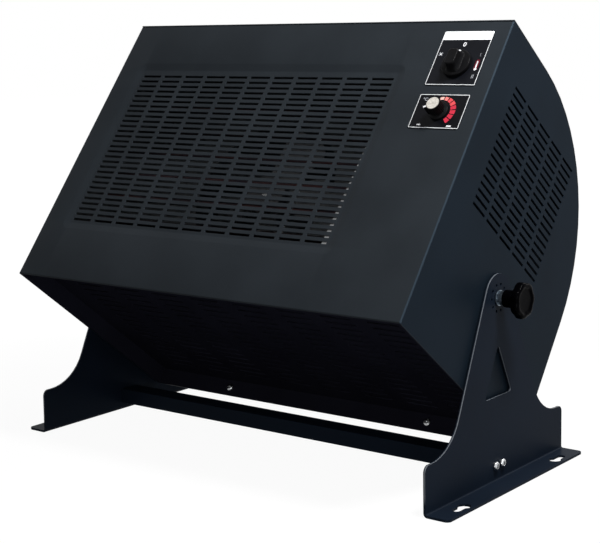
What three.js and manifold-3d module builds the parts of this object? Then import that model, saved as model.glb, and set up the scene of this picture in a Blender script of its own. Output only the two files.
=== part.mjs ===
// Fan heater in a tilting sheet-metal casing, carried between two foot brackets.
// Millimetres, +Z up, front towards -Y. The stand rests on z = 0.

import * as THREE from "three";
import { mergeGeometries, mergeVertices } from "three/addons/utils/BufferGeometryUtils.js";
import Module from "manifold-3d";

const wasm = await Module();
wasm.setup();

// ---------------------------------------------------------------- driving sizes

const seatGap = 0.3; // clearance between pieces that touch
const boreGap = 0.3; // radial clearance of a shank or shaft in its hole

// Casing, in its own frame: X right, Y up the front face, Z out of the front face
const casingWidth = 600;
const casingDepth = 329;
const casingHeight = 405;
const backRadius = 227; // rounded top rear corner
const backArcSteps = 7; // facet pairs in a quarter turn
const casingSheet = 1.5;
const pivotDepth = 161; // pivot behind the front face
const pivotRise = 120; // pivot above the casing's lower face
const casingTilt = 37.6; // degrees that the front face leans back at rest

// Stand
const pivotHeight = 222;
const bracketSheet = 3;
const sideGap = 2.5; // casing side to bracket
const footLength = 322;
const footHeight = 58.3;
const footReach = 30; // flange beyond the bracket's outer face
const footCornerRadius = 8;
const flangeCornerRadius = 6;
const bendInnerRadius = 2;
const crownRadius = 29;
const slantAngle = 24.3; // degrees of the bracket's long edges from vertical
const flareRadius = 64;
const windowTop = 168;
const windowBottom = 104;
const windowHalfWidth = 32;
const windowCornerRadius = 3.5;
const indexHoleCount = 10;
const indexHoleRadius = 2;
const indexRingRadius = 16;
const keySlotOffset = 117; // keyhole centre from the middle of the foot
const keySlotInset = 18; // keyhole centre line from the bracket's outer face
const keyHeadRadius = 8.1;
const keyNeckWidth = 9.6;
const keyNeckLength = 17.3;

// Cross tube and its bolts
const tubeDepth = 30;
const tubeHeight = 20;
const tubeWall = 2;
const tubeCentreHeight = 21;
const tubeBoltPitch = 15.5;
const tubeBoltShankRadius = 3;
const tubeBoltHeadRadius = 5.3;
const tubeBoltHeadHeight = 3.6;
const tubeBoltReach = 12; // shank length beyond the bracket

const headCrown = 0.45; // rounded share of a bolt head's height

// Pivot clamp
const studRadius = 4;
const studReach = 14; // thread inside the casing
const spacerRadius = 12;
const washerRadius = 9.5;
const washerThickness = 1.6;
const nutFlat = 15; // across flats
const nutHeight = 6.6;
const stemRadius = 10.5;
const stemLength = 16.6;
const starRadius = 21.8;
const starValley = 2.4; // depth of the hollows between lobes
const starLobes = 7;
const starThickness = 11;
const starEdge = 1.8;
const lobeSteps = 5; // points along each lobe
const studBedding = 18; // stud inside the knob
const bossRadius = 11;
const bossLength = 12;

// Slots of the front panel and the side panels
const slotLength = 32.5;
const slotHeight = 3.6;
const slotColumnPitch = 38.3;
const frontSlotColumns = 11;
const frontSlotRows = 29;
const frontSlotRowPitch = 8.24;
const frontSlotCentreX = -46.2;
const frontSlotCentreY = 204.4;
const sideSlotColumns = 5;
const sideSlotRows = 18;
const sideSlotRowPitch = 9.44;
const sideSlotCentreDepth = 143.3;
const sideSlotCentreY = 263.4;

// Pressed field around the front slots
const fieldWidth = 443;
const fieldHeight = 259;
const fieldCentreX = -45;
const fieldCentreY = 204.7;
const fieldBorder = 7;
const fieldDepth = 3;

// Recessed lower grille
const panRecess = 23;
const panSlotLength = 45;
const panSlotHeight = 5;
const panSlotColumns = 8;
const panSlotColumnPitch = 67;
const panSlotRows = 19;
const panSlotRowPitch = 14.6;
const panScrewOffset = 165;
const panScrewRise = 11.5;
const panScrewShankRadius = 2.4;
const panScrewHeadRadius = 5;
const panScrewHeadHeight = 3;
const panScrewTip = 1.2; // thread showing behind the cover

// Controls on the front face
const controlInset = 54; // axis of both knobs from the casing's right side
const plateThickness = 0.8;
const plateCornerRadius = 2.5;
const plateWidth = 68.5;
const selectorPlateHeight = 79;
const selectorPlateDrop = 56.2; // middle of the plate below the casing's top
const thermostatPlateHeight = 48;
const thermostatPlateDrop = 132.8;
const selectorDrop = 66; // axis of the knob below the casing's top
const selectorSkirtRadius = 19;
const selectorSkirtHeight = 5.4;
const selectorGripWidth = 14;
const selectorGripHeight = 18; // top of the grip above the plate
const selectorGripLength = 27;
const selectorGripRadius = 5;
const selectorShaftRadius = 3;
const selectorShaftReach = 12; // shaft inside the switch
const selectorSwitchWidth = 46;
const selectorSwitchDepth = 52;
const thermostatDrop = 133;
const thermostatSkirtRadius = 12.8;
const thermostatSkirtHeight = 3;
const thermostatBodyRadius = 9.4;
const thermostatFlutes = 12;
const fluteSteps = 3; // points along each flute
const thermostatFluteDepth = 0.9;
const thermostatBodyHeight = 17;
const thermostatPointerAngle = 209; // degrees of the pointer at rest, from +X
const thermostatPointerReach = 12.6;
const thermostatPointerWidth = 2.2;
const thermostatCapRadius = 8.2;
const thermostatCapHeight = 1.4;
const thermostatShaftRadius = 3;
const thermostatShaftReach = 10;
const thermostatHousingWidth = 38;
const thermostatHousingDepth = 26;

// Heater box behind the front slots
const heaterBoxWidth = 426;
const heaterBoxHeight = 243;
const heaterBoxDepth = 92;
const heaterBoxSheet = 1.2;
const elementCount = 6;
const elementPitch = 36;
const elementRadius = 4.25;
const elementDepth = 46; // element axis behind the front face
const elementEnd = 22; // bare end outside the heater box
const elementBeadRadius = 7;
const elementBeadLength = 9;
const shroudThroatRadius = 107;
const shroudRingLength = 26;
const shroudWall = 1.5;
const impellerRadius = 102;
const hubRadius = 30;
const hubLength = 22;
const bladeCount = 5;
const bladeRootWidth = 34;
const bladeTipWidth = 58;
const bladeThickness = 2.4;
const bladeRoot = 24; // blade's start inside the hub
const bladeShoulder = 82; // where its rounded tip begins
const bladePitch = 24; // degrees
const spiderBarWidth = 16;
const spiderSheet = 2.5;
const spiderReach = 112; // leg centre from the fan axis along a bar
const motorRadius = 46;
const motorLength = 68;
const motorShaftRadius = 5;
const shaftBedding = 40; // shaft inside the motor
const fanToSpider = 6; // clearance behind the throat ring

// Small fittings in the casing
const cutoutWidth = 22;
const cutoutHeight = 9;
const cutoutDepth = 18;
const terminalLength = 62;
const terminalHeight = 22;
const terminalWidth = 18;
const terminalDepthPlace = 120;
const terminalY = 60;
const glandX = 215;
const glandY = 62;
const glandFlangeRadius = 13;
const glandFlangeLength = 6;
const glandDomeRadius = 10.5;
const glandDomeLength = 13;
const glandNoseLength = 3;
const glandInside = 4; // neck showing inside the casing
const glandNeckRadius = 8;
const glandBoreRadius = 5.2;

// ---------------------------------------------------------------- derived sizes

const rad = THREE.MathUtils.degToRad;
const halfWidth = casingWidth / 2;
const controlX = halfWidth - controlInset;
const selectorY = casingHeight - selectorDrop;
const selectorPlateY = casingHeight - selectorPlateDrop;
const thermostatY = casingHeight - thermostatDrop;
const thermostatPlateY = casingHeight - thermostatPlateDrop;
const sideInner = halfWidth - casingSheet;
const insetInWrap = casingSheet + seatGap; // from the cover's outer surface to what it wraps
const bracketInner = halfWidth + sideGap;
const bracketOuter = bracketInner + bracketSheet;
const washerFace = bracketOuter + seatGap;
const nutFace = washerFace + washerThickness + seatGap;
const knobFace = nutFace + nutHeight + seatGap;
const plateTop = seatGap + plateThickness;
const heaterFront = fieldDepth + casingSheet + seatGap; // depth of the heater box's front edge
const shroudDepth = heaterFront + heaterBoxDepth + seatGap;
const spiderDepth = shroudDepth + shroudWall + shroudRingLength + fanToSpider;
const fanCentre = -(shroudDepth + shroudWall + shroudRingLength / 2); // along the fan axis
const motorDepth = spiderDepth + spiderSheet + seatGap;
const weldReach = 1e-4; // corners nearer than this are one corner
const cutOver = 1; // how far a cutter runs past the face that it cuts
const roundSteps = 18;
const smallSteps = 12;
const throatSteps = 36;
const holeSteps = 8;
const cornerSteps = 2; // facet pairs in a small corner

// ---------------------------------------------------------------- materials

const finish = (color, roughness, metalness) =>
  new THREE.MeshStandardMaterial({ color, roughness, metalness });
const casingPaint = () => finish(0x2b3136, 0.55, 0.2);
const standPaint = () => finish(0x1e252c, 0.5, 0.2);
const grillePaint = () => finish(0x14171a, 0.4, 0.2);
const blackPlastic = () => finish(0x101113, 0.45, 0);
const platePrint = () => finish(0x17181b, 0.35, 0);
const zincSteel = () => finish(0xb9bcbf, 0.3, 1);
const brightCap = () => finish(0xcfd0cf, 0.25, 1);
const galvanised = () => finish(0x9a9ea1, 0.45, 1);
const elementSteel = () => finish(0x7d7a74, 0.4, 1);
const fanAluminium = () => finish(0xa8abad, 0.4, 1);
const castAluminium = () => finish(0x8d9092, 0.5, 1);
const whitePlastic = () => finish(0xd8d6cf, 0.5, 0);

// ---------------------------------------------------------------- helpers

/** A closed mesh as a solid, with shared corners merged and collapsed triangles left out. */
function solid(geometry) {
  const bare = geometry.clone();
  bare.deleteAttribute("normal");
  bare.deleteAttribute("uv");
  const merged = mergeVertices(bare, weldReach);
  const corners = [];
  const index = merged.index.array;
  for (let i = 0; i < index.length; i += 3) {
    const [a, b, c] = [index[i], index[i + 1], index[i + 2]];
    if (a !== b && b !== c && a !== c) corners.push(a, b, c);
  }
  const vertProperties = new Float32Array(merged.attributes.position.array);
  const mesh = new wasm.Mesh({ numProp: 3, vertProperties, triVerts: new Uint32Array(corners) });
  return new wasm.Manifold(mesh);
}

/** A solid back as a drawable geometry. */
function drawable(body) {
  const mesh = body.getMesh();
  const geometry = new THREE.BufferGeometry();
  geometry.setAttribute("position", new THREE.BufferAttribute(new Float32Array(mesh.vertProperties), 3));
  geometry.setIndex(Array.from(mesh.triVerts));
  return geometry;
}

/** Adds one named piece to a group. */
function place(group, name, body, material) {
  const geometry = drawable(body);
  geometry.computeVertexNormals();
  const mesh = new THREE.Mesh(geometry, material);
  mesh.name = name;
  group.add(mesh);
}

const box = (width, height, depth, x = 0, y = 0, z = 0) =>
  new THREE.BoxGeometry(width, height, depth).translate(x, y, z);

/** A round bar along Z from z0 to z1. */
const barZ = (radius, z0, z1, x = 0, y = 0, steps = roundSteps) =>
  new THREE.CylinderGeometry(radius, radius, z1 - z0, steps)
    .rotateX(Math.PI / 2)
    .translate(x, y, (z0 + z1) / 2);

/** A round bar along X from x0 to x1. */
const barX = (radius, x0, x1, y = 0, z = 0, steps = roundSteps) =>
  new THREE.CylinderGeometry(radius, radius, x1 - x0, steps)
    .rotateZ(Math.PI / 2)
    .translate((x0 + x1) / 2, y, z);

/** A cutter for a small round hole along Z, run past z0 and z1. */
const holeZ = (radius, z0, z1, x = 0, y = 0) =>
  solid(barZ(radius, z0 - cutOver, z1 + cutOver, x, y, smallSteps));

/** A cutter for a small round hole along X, run past x0 and x1. */
const holeX = (radius, x0, x1, y = 0, z = 0, steps = smallSteps) =>
  solid(barX(radius, x0 - cutOver, x1 + cutOver, y, z, steps));

/** A closed profile of [radius, height] points turned about Z. */
function turned(profile, steps = roundSteps) {
  const points = profile.map(([radius, height]) => new THREE.Vector2(radius, height));
  return new THREE.LatheGeometry(points, steps).rotateX(Math.PI / 2);
}

/** Turns a body made along Z so that its axis points along X. */
const toAlongX = (geometry) => geometry.rotateY(Math.PI / 2);

/** A shape in X and Y, made thick from z0 to z1. */
function prism(shape, z0, z1, curveSegments = cornerSteps) {
  const settings = { depth: z1 - z0, bevelEnabled: false, curveSegments };
  return new THREE.ExtrudeGeometry(shape, settings).translate(0, 0, z0);
}

/** A shape in depth and Y of the casing, made thick along X from x0 to x1. */
const casingProfile = (shape, x0, x1, curveSegments = backArcSteps) =>
  prism(shape, x0, x1, curveSegments).rotateY(Math.PI / 2);

/** A shape in Y and Z of the stand, made thick along X from x0 to x1. */
const standProfile = (shape, x0, x1, curveSegments = 2 * cornerSteps) =>
  prism(shape, x0, x1, curveSegments).rotateX(Math.PI / 2).rotateZ(Math.PI / 2);

/** A rectangle with round corners. */
function roundedRectangle(width, height, radius, x = 0, y = 0) {
  const [left, right] = [x - width / 2, x + width / 2];
  const [low, high] = [y - height / 2, y + height / 2];
  const shape = new THREE.Shape();
  shape.moveTo(left + radius, low);
  shape.lineTo(right - radius, low);
  shape.absarc(right - radius, low + radius, radius, -Math.PI / 2, 0);
  shape.lineTo(right, high - radius);
  shape.absarc(right - radius, high - radius, radius, 0, Math.PI / 2);
  shape.lineTo(left + radius, high);
  shape.absarc(left + radius, high - radius, radius, Math.PI / 2, Math.PI);
  shape.lineTo(left, low + radius);
  shape.absarc(left + radius, low + radius, radius, Math.PI, 1.5 * Math.PI);
  shape.closePath();
  return shape;
}

/** A polygon whose corners are rounded, each corner given as [x, y, radius]. */
function roundedPolygon(corners) {
  const shape = new THREE.Shape();
  corners.forEach(([x, y, radius], i) => {
    const here = new THREE.Vector2(x, y);
    const before = new THREE.Vector2(...corners[(i + corners.length - 1) % corners.length]);
    const after = new THREE.Vector2(...corners[(i + 1) % corners.length]);
    const back = before.sub(here).normalize();
    const ahead = after.sub(here).normalize();
    const turn = Math.PI - Math.acos(THREE.MathUtils.clamp(back.dot(ahead), -1, 1));
    const trim = radius * Math.tan(turn / 2);
    const start = here.clone().addScaledVector(back, trim);
    const end = here.clone().addScaledVector(ahead, trim);
    if (i === 0) shape.moveTo(start.x, start.y);
    else shape.lineTo(start.x, start.y);
    if (radius > 0) {
      const middle = back.clone().add(ahead).normalize();
      const centre = here.clone().addScaledVector(middle, radius / Math.cos(turn / 2));
      const from = start.clone().sub(centre).angle();
      const to = end.clone().sub(centre).angle();
      shape.absarc(centre.x, centre.y, radius, from, to, back.cross(ahead) > 0);
    }
  });
  shape.closePath();
  return shape;
}

/** A rectangular block that shrinks by a border on each side from z = 0 down to z = -depth. */
function taperedBlock(width, height, border, depth) {
  const block = new THREE.BoxGeometry(width, height, depth).translate(0, 0, -depth / 2);
  const corner = block.attributes.position;
  for (let i = 0; i < corner.count; i += 1) {
    if (corner.getZ(i) < -depth / 2) {
      corner.setX(i, corner.getX(i) - Math.sign(corner.getX(i)) * border);
      corner.setY(i, corner.getY(i) - Math.sign(corner.getY(i)) * border);
    }
  }
  return block;
}

/** The middles of evenly spaced copies about zero. */
const spread = (count, pitch) => Array.from({ length: count }, (_, i) => (i - (count - 1) / 2) * pitch);

/** Slot cutters in rows and columns about a centre, through the plane z = 0. */
function slotField(columns, columnPitch, rows, rowPitch, length, height, through) {
  const cutters = [];
  for (const x of spread(columns, columnPitch)) {
    for (const y of spread(rows, rowPitch)) cutters.push(box(length, height, through, x, y));
  }
  return mergeGeometries(cutters);
}

/** The casing's outer profile in depth and Y, drawn in by an inset, from a front depth. */
function casingOutline(inset, front) {
  const arcDepth = casingDepth - backRadius;
  const arcY = casingHeight - backRadius;
  const shape = new THREE.Shape();
  shape.moveTo(front, 0);
  shape.lineTo(casingDepth - inset, 0);
  shape.lineTo(casingDepth - inset, arcY);
  shape.absarc(arcDepth, arcY, backRadius - inset, 0, Math.PI / 2);
  shape.lineTo(front, casingHeight - inset);
  shape.closePath();
  return shape;
}

// ---------------------------------------------------------------- stand

/** One foot bracket, standing on z = 0 at the right of the casing. */
function footBracket() {
  const outerBend = bendInnerRadius + bracketSheet;
  const flangeEnd = bracketOuter + footReach;
  const top = pivotHeight + crownRadius;
  const section = new THREE.Shape();
  section.moveTo(bracketInner + outerBend, 0);
  section.lineTo(flangeEnd, 0);
  section.lineTo(flangeEnd, bracketSheet);
  section.lineTo(bracketOuter + bendInnerRadius, bracketSheet);
  section.absarc(bracketOuter + bendInnerRadius, outerBend, bendInnerRadius, 1.5 * Math.PI, Math.PI, true);
  section.lineTo(bracketOuter, top);
  section.lineTo(bracketInner, top);
  section.lineTo(bracketInner, outerBend);
  section.absarc(bracketInner + outerBend, outerBend, outerBend, Math.PI, 1.5 * Math.PI);
  const angle = prism(section, -footLength / 2, footLength / 2).rotateX(Math.PI / 2);

  const side = solid(standProfile(bracketSide(), bracketInner - cutOver, flangeEnd + cutOver));
  const planWidth = flangeEnd - bracketInner;
  const plan = roundedRectangle(2 * planWidth, footLength, flangeCornerRadius, bracketInner);
  const column = solid(prism(plan, -cutOver, top + cutOver));
  const bracket = solid(angle).intersect(side).intersect(column);

  const window = roundedPolygon([
    [-windowHalfWidth, windowBottom, windowCornerRadius],
    [windowHalfWidth, windowBottom, windowCornerRadius],
    [0, windowTop, windowCornerRadius],
  ]);
  const opening = standProfile(window, bracketInner - cutOver, bracketOuter + cutOver, cornerSteps);
  const cutters = [solid(opening)];
  const cutHole = (radius, y, z, steps) => {
    cutters.push(holeX(radius, bracketInner, bracketOuter, y, z, steps));
  };
  cutHole(studRadius + boreGap, 0, pivotHeight);
  for (let i = 0; i < indexHoleCount; i += 1) {
    const angleAt = ((i + 0.5) / indexHoleCount) * 2 * Math.PI;
    const y = indexRingRadius * Math.sin(angleAt);
    const z = pivotHeight + indexRingRadius * Math.cos(angleAt);
    cutHole(indexHoleRadius, y, z, holeSteps);
  }
  for (const y of spread(2, tubeBoltPitch)) cutHole(tubeBoltShankRadius + boreGap, y, tubeCentreHeight);
  for (const end of [-1, 1]) {
    cutters.push(solid(prism(keyhole(end), -cutOver, bracketSheet + cutOver, 2 * cornerSteps)));
  }
  return cutters.reduce((body, cutter) => body.subtract(cutter), bracket);
}

/** The bracket seen from the side, in Y and Z. */
function bracketSide() {
  const lean = rad(slantAngle);
  const half = footLength / 2;
  const cornerY = half - footCornerRadius;
  const cornerZ = footHeight - footCornerRadius;
  const slantAt = (side, z) => {
    const touchY = side * crownRadius * Math.cos(lean);
    const touchZ = pivotHeight + crownRadius * Math.sin(lean);
    return touchY + side * (touchZ - z) * Math.tan(lean);
  };
  const trim = flareRadius * Math.tan((Math.PI / 2 - lean) / 2);
  const shape = new THREE.Shape();
  shape.moveTo(-half, 0);
  shape.lineTo(half, 0);
  shape.lineTo(half, cornerZ);
  shape.absarc(cornerY, cornerZ, footCornerRadius, 0, Math.PI / 2);
  const rear = slantAt(1, footHeight) + trim;
  const front = slantAt(-1, footHeight) - trim;
  const flareZ = footHeight + flareRadius;
  shape.absarc(rear, flareZ, flareRadius, 1.5 * Math.PI, Math.PI + lean, true);
  shape.absarc(0, pivotHeight, crownRadius, lean, Math.PI - lean);
  shape.absarc(front, flareZ, flareRadius, -lean, -Math.PI / 2, true);
  shape.absarc(-cornerY, cornerZ, footCornerRadius, Math.PI / 2, Math.PI);
  shape.closePath();
  return shape;
}

/** A keyhole in the flange, its neck towards the bracket's end, in X and Y. */
function keyhole(end) {
  const x = bracketOuter + keySlotInset;
  const half = keyNeckWidth / 2;
  const spreadAngle = Math.asin(half / keyHeadRadius);
  const headY = end * (keySlotOffset - keyNeckLength / 2);
  const tipY = headY + end * keyNeckLength;
  const shape = new THREE.Shape();
  const out = end * (Math.PI / 2);
  shape.absarc(x, tipY, half, out - Math.PI / 2, out + Math.PI / 2);
  shape.absarc(x, headY, keyHeadRadius, out + spreadAngle, out + 2 * Math.PI - spreadAngle);
  shape.closePath();
  return shape;
}

/** The rectangular tube between the brackets, closed by bolted end plates. */
function crossTube() {
  const half = bracketInner - seatGap;
  const outer = solid(box(2 * half, tubeDepth, tubeHeight, 0, 0, tubeCentreHeight));
  const inner = box(2 * (half - bracketSheet), tubeDepth - 2 * tubeWall, tubeHeight - 2 * tubeWall);
  let tube = outer.subtract(solid(inner.translate(0, 0, tubeCentreHeight)));
  for (const y of spread(2, tubeBoltPitch)) {
    tube = tube.subtract(holeX(tubeBoltShankRadius + boreGap, -half, half, y, tubeCentreHeight));
  }
  return tube;
}

/** A pan-head bolt with its head's seat at z = 0, the head towards +Z. */
function panBolt(shankRadius, headRadius, headHeight, reach) {
  const crown = headHeight * headCrown;
  return turned(
    [
      [0, -reach],
      [shankRadius, -reach],
      [shankRadius, 0],
      [headRadius, 0],
      [headRadius, headHeight - crown],
      [headRadius - crown, headHeight],
      [0, headHeight],
    ],
    smallSteps,
  );
}

const tubeBolt = () =>
  panBolt(tubeBoltShankRadius, tubeBoltHeadRadius, tubeBoltHeadHeight, bracketSheet + tubeBoltReach);

const grilleScrew = () => {
  const reach = casingSheet + seatGap + casingSheet + 2 * seatGap + panScrewTip;
  return panBolt(panScrewShankRadius, panScrewHeadRadius, panScrewHeadHeight, reach);
};

// ---------------------------------------------------------------- casing shell

/** Front panel with its pressed, slotted field and the two shaft holes. */
function frontPanel() {
  const height = casingHeight - insetInWrap;
  const sheet = solid(box(casingWidth, height, casingSheet, 0, height / 2, -casingSheet / 2));
  const pressed = () => taperedBlock(fieldWidth, fieldHeight, fieldBorder, fieldDepth);
  const behind = pressed().translate(fieldCentreX, fieldCentreY, -casingSheet);
  const hollow = pressed().translate(fieldCentreX, fieldCentreY, 0);
  const slots = slotField(
    frontSlotColumns,
    slotColumnPitch,
    frontSlotRows,
    frontSlotRowPitch,
    slotLength,
    slotHeight,
    2 * (fieldDepth + casingSheet + cutOver),
  ).translate(frontSlotCentreX, frontSlotCentreY, 0);
  return sheet
    .add(solid(behind))
    .subtract(solid(hollow))
    .subtract(solid(slots))
    .subtract(holeZ(selectorShaftRadius + boreGap, -casingSheet, 0, controlX, selectorY))
    .subtract(holeZ(thermostatShaftRadius + boreGap, -casingSheet, 0, controlX, thermostatY));
}

/** A flat side panel with its vent slots and pivot hole, for the right (1) or left (-1) side. */
function sidePanel(side) {
  const [x0, x1] = side > 0 ? [sideInner, halfWidth] : [-halfWidth, -sideInner];
  const sheet = solid(casingProfile(casingOutline(insetInWrap, insetInWrap), x0, x1));
  const slots = slotField(
    sideSlotColumns,
    slotColumnPitch,
    sideSlotRows,
    sideSlotRowPitch,
    slotLength,
    slotHeight,
    2 * (casingSheet + cutOver),
  )
    .rotateY(Math.PI / 2)
    .translate((x0 + x1) / 2, sideSlotCentreY, -sideSlotCentreDepth);
  return sheet.subtract(solid(slots)).subtract(holeX(studRadius + boreGap, x0, x1, pivotRise, -pivotDepth));
}

/** The top and back in one rolled sheet. */
function wrapCover() {
  const outer = solid(casingProfile(casingOutline(0, 0), -halfWidth, halfWidth));
  const reach = halfWidth + cutOver;
  const inner = solid(casingProfile(casingOutline(casingSheet, -cutOver), -reach, reach));
  const mouth = box(2 * reach, 2 * cutOver, casingDepth - casingSheet + cutOver);
  mouth.translate(0, 0, (cutOver + casingSheet - casingDepth) / 2);
  const [back, front] = [-casingDepth, casingSheet - casingDepth];
  let cover = outer.subtract(inner).subtract(solid(mouth));
  for (const x of [-panScrewOffset, panScrewOffset]) {
    cover = cover.subtract(holeZ(panScrewShankRadius + boreGap, back, front, x, panScrewRise));
  }
  return cover.subtract(holeZ(glandNeckRadius + boreGap, back, front, glandX, glandY));
}

/** The recessed lower grille: a slotted tray that opens downwards. */
function lowerGrille() {
  const outerWidth = 2 * (sideInner - seatGap);
  const outerDepth = casingDepth - 2 * insetInWrap;
  const wall = 2 * casingSheet;
  const height = panRecess + casingSheet;
  const tray = solid(box(outerWidth, height, outerDepth, 0, height / 2, -casingDepth / 2));
  const hollow = box(outerWidth - wall, 2 * panRecess, outerDepth - wall, 0, 0, -casingDepth / 2);
  const slots = slotField(
    panSlotColumns,
    panSlotColumnPitch,
    panSlotRows,
    panSlotRowPitch,
    panSlotLength,
    panSlotHeight,
    2 * (casingSheet + cutOver),
  )
    .rotateX(Math.PI / 2)
    .translate(0, panRecess, -casingDepth / 2);
  let grille = tray.subtract(solid(hollow)).subtract(solid(slots));
  for (const x of [-panScrewOffset, panScrewOffset]) {
    const back = insetInWrap - casingDepth;
    const hole = holeZ(panScrewShankRadius + boreGap, back, back + casingSheet, x, panScrewRise);
    grille = grille.subtract(hole);
  }
  return grille;
}

/** A thin label plate on the front face, with a hole for its shaft. */
function labelPlate(height, centreY, shaftRadius, shaftY) {
  const outline = roundedRectangle(plateWidth, height, plateCornerRadius, controlX, centreY);
  const plate = solid(prism(outline, seatGap, plateTop));
  return plate.subtract(holeZ(shaftRadius + boreGap, seatGap, plateTop, controlX, shaftY));
}

// ---------------------------------------------------------------- controls

/** A knob's shaft about its own axis, from inside the switch up to a height in the knob. */
function knobShaft(radius, reach, top) {
  const switchFace = -(plateTop + casingSheet + seatGap);
  return solid(barZ(radius, switchFace - reach, top, 0, 0, smallSteps));
}

/** The selector knob about its own axis: z = 0 is the plate's surface. */
function selectorKnob() {
  const middle = selectorSkirtHeight / 2;
  const grip = roundedRectangle(selectorGripWidth, selectorGripLength, selectorGripRadius);
  return solid(barZ(selectorSkirtRadius, seatGap, selectorSkirtHeight))
    .add(solid(prism(grip, middle, selectorGripHeight)))
    .add(knobShaft(selectorShaftRadius, selectorShaftReach, middle));
}

/** A round outline with even hollows, given by its radius, their depth and count. */
function lobedOutline(rim, depth, count, stepsEach) {
  const shape = new THREE.Shape();
  const steps = count * stepsEach;
  for (let i = 0; i < steps; i += 1) {
    const angle = (i / steps) * 2 * Math.PI;
    const radius = rim - (depth / 2) * (1 - Math.cos(count * angle));
    shape.lineTo(radius * Math.cos(angle), radius * Math.sin(angle));
  }
  return shape;
}

/** The thermostat's fluted knob with its pointer rib, about its own axis. */
function thermostatKnob() {
  const top = thermostatBodyHeight;
  const middle = thermostatSkirtHeight / 2;
  const fluted = lobedOutline(thermostatBodyRadius, thermostatFluteDepth, thermostatFlutes, fluteSteps);
  const pointer = box(thermostatPointerReach, thermostatPointerWidth, top - thermostatSkirtHeight);
  pointer.translate(thermostatPointerReach / 2, 0, (top + thermostatSkirtHeight) / 2);
  pointer.rotateZ(rad(thermostatPointerAngle));
  const capSeat = barZ(thermostatCapRadius + boreGap, top - thermostatCapHeight, top + cutOver);
  return solid(barZ(thermostatSkirtRadius, seatGap, thermostatSkirtHeight))
    .add(solid(prism(fluted, middle, top)))
    .add(solid(pointer))
    .add(knobShaft(thermostatShaftRadius, thermostatShaftReach, middle))
    .subtract(solid(capSeat));
}

/** The bright cap let into the top of the thermostat knob. */
const thermostatCap = () => {
  const floor = thermostatBodyHeight - thermostatCapHeight + seatGap;
  return solid(barZ(thermostatCapRadius, floor, floor + thermostatCapHeight));
};

/** A housing behind the front panel with a bore for the shaft of its knob. */
function switchHousing(width, depth, y, shaftRadius, shaftReach) {
  const face = -(casingSheet + seatGap);
  const housing = solid(box(width, width, depth, controlX, y, face - depth / 2));
  const floor = face - shaftReach - seatGap + cutOver;
  return housing.subtract(holeZ(shaftRadius + boreGap, floor, face, controlX, y));
}

// ---------------------------------------------------------------- pivot clamp, along +X from the centre

/** A flat ring about X. */
const ringX = (outer, inner, x0, x1) =>
  solid(barX(outer, x0, x1)).subtract(holeX(inner, x0, x1));

/** Hexagon nut about X. */
function clampNut() {
  const nut = solid(barX(nutFlat / Math.sqrt(3), nutFace, nutFace + nutHeight, 0, 0, 6));
  return nut.subtract(holeX(studRadius + boreGap, nutFace, nutFace + nutHeight));
}

/** The lobed hand knob about X, with a blind bore for the stud. */
function clampKnob() {
  const star = lobedOutline(starRadius - starEdge, starValley, starLobes, lobeSteps);
  const head = new THREE.ExtrudeGeometry(star, {
    depth: starThickness - 2 * starEdge,
    bevelThickness: starEdge,
    bevelSize: starEdge,
    bevelSegments: 1,
  });
  head.translate(0, 0, knobFace + stemLength + starEdge);
  const stem = barX(stemRadius, knobFace, knobFace + stemLength + starEdge);
  const bore = holeX(studRadius + boreGap, knobFace, knobFace + studBedding + seatGap - cutOver);
  return solid(toAlongX(head)).add(solid(stem)).subtract(bore);
}

/** The threaded stud from the boss inside the casing to the knob. */
const clampStud = () =>
  solid(barX(studRadius, sideInner - seatGap - studReach, knobFace + studBedding, 0, 0, smallSteps));

// ---------------------------------------------------------------- heater and fan, in the casing's frame

/** Four sheet walls behind the slots, with holes for the elements. */
function heaterBox() {
  const centre = -(heaterFront + heaterBoxDepth / 2);
  const outer = solid(box(heaterBoxWidth, heaterBoxHeight, heaterBoxDepth, 0, 0, centre));
  const wall = 2 * heaterBoxSheet;
  const inner = solid(box(heaterBoxWidth - wall, heaterBoxHeight - wall, 2 * casingDepth, 0, 0, centre));
  let walls = outer.subtract(inner);
  const half = heaterBoxWidth / 2;
  for (const y of spread(elementCount, elementPitch)) {
    walls = walls.subtract(holeX(elementRadius + boreGap, -half, half, y, -elementDepth, holeSteps));
  }
  return walls;
}

/** One heating rod along X, through both side walls of the heater box, with its ceramic end beads. */
function heatingElement(y) {
  const half = heaterBoxWidth / 2 + elementEnd;
  const bead = heaterBoxWidth / 2 + seatGap;
  const rod = solid(barX(elementRadius, -half, half, y, -elementDepth, smallSteps));
  const beads = [-bead - elementBeadLength, bead].map((x) =>
    solid(barX(elementBeadRadius, x, x + elementBeadLength, y, -elementDepth, smallSteps)),
  );
  return rod.add(beads[0]).add(beads[1]);
}

/** The rear plate of the heater box with the fan's throat ring. */
function fanShroud() {
  const [back, front] = [-(shroudDepth + shroudWall), -shroudDepth];
  const plate = solid(box(heaterBoxWidth, heaterBoxHeight, shroudWall, 0, 0, (back + front) / 2));
  const end = back - shroudRingLength;
  const ring = barZ(shroudThroatRadius + shroudWall, end, (back + front) / 2, 0, 0, throatSteps);
  const throat = barZ(shroudThroatRadius, end - cutOver, front + cutOver, 0, 0, throatSteps);
  return plate.add(solid(ring)).subtract(solid(throat));
}

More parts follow.
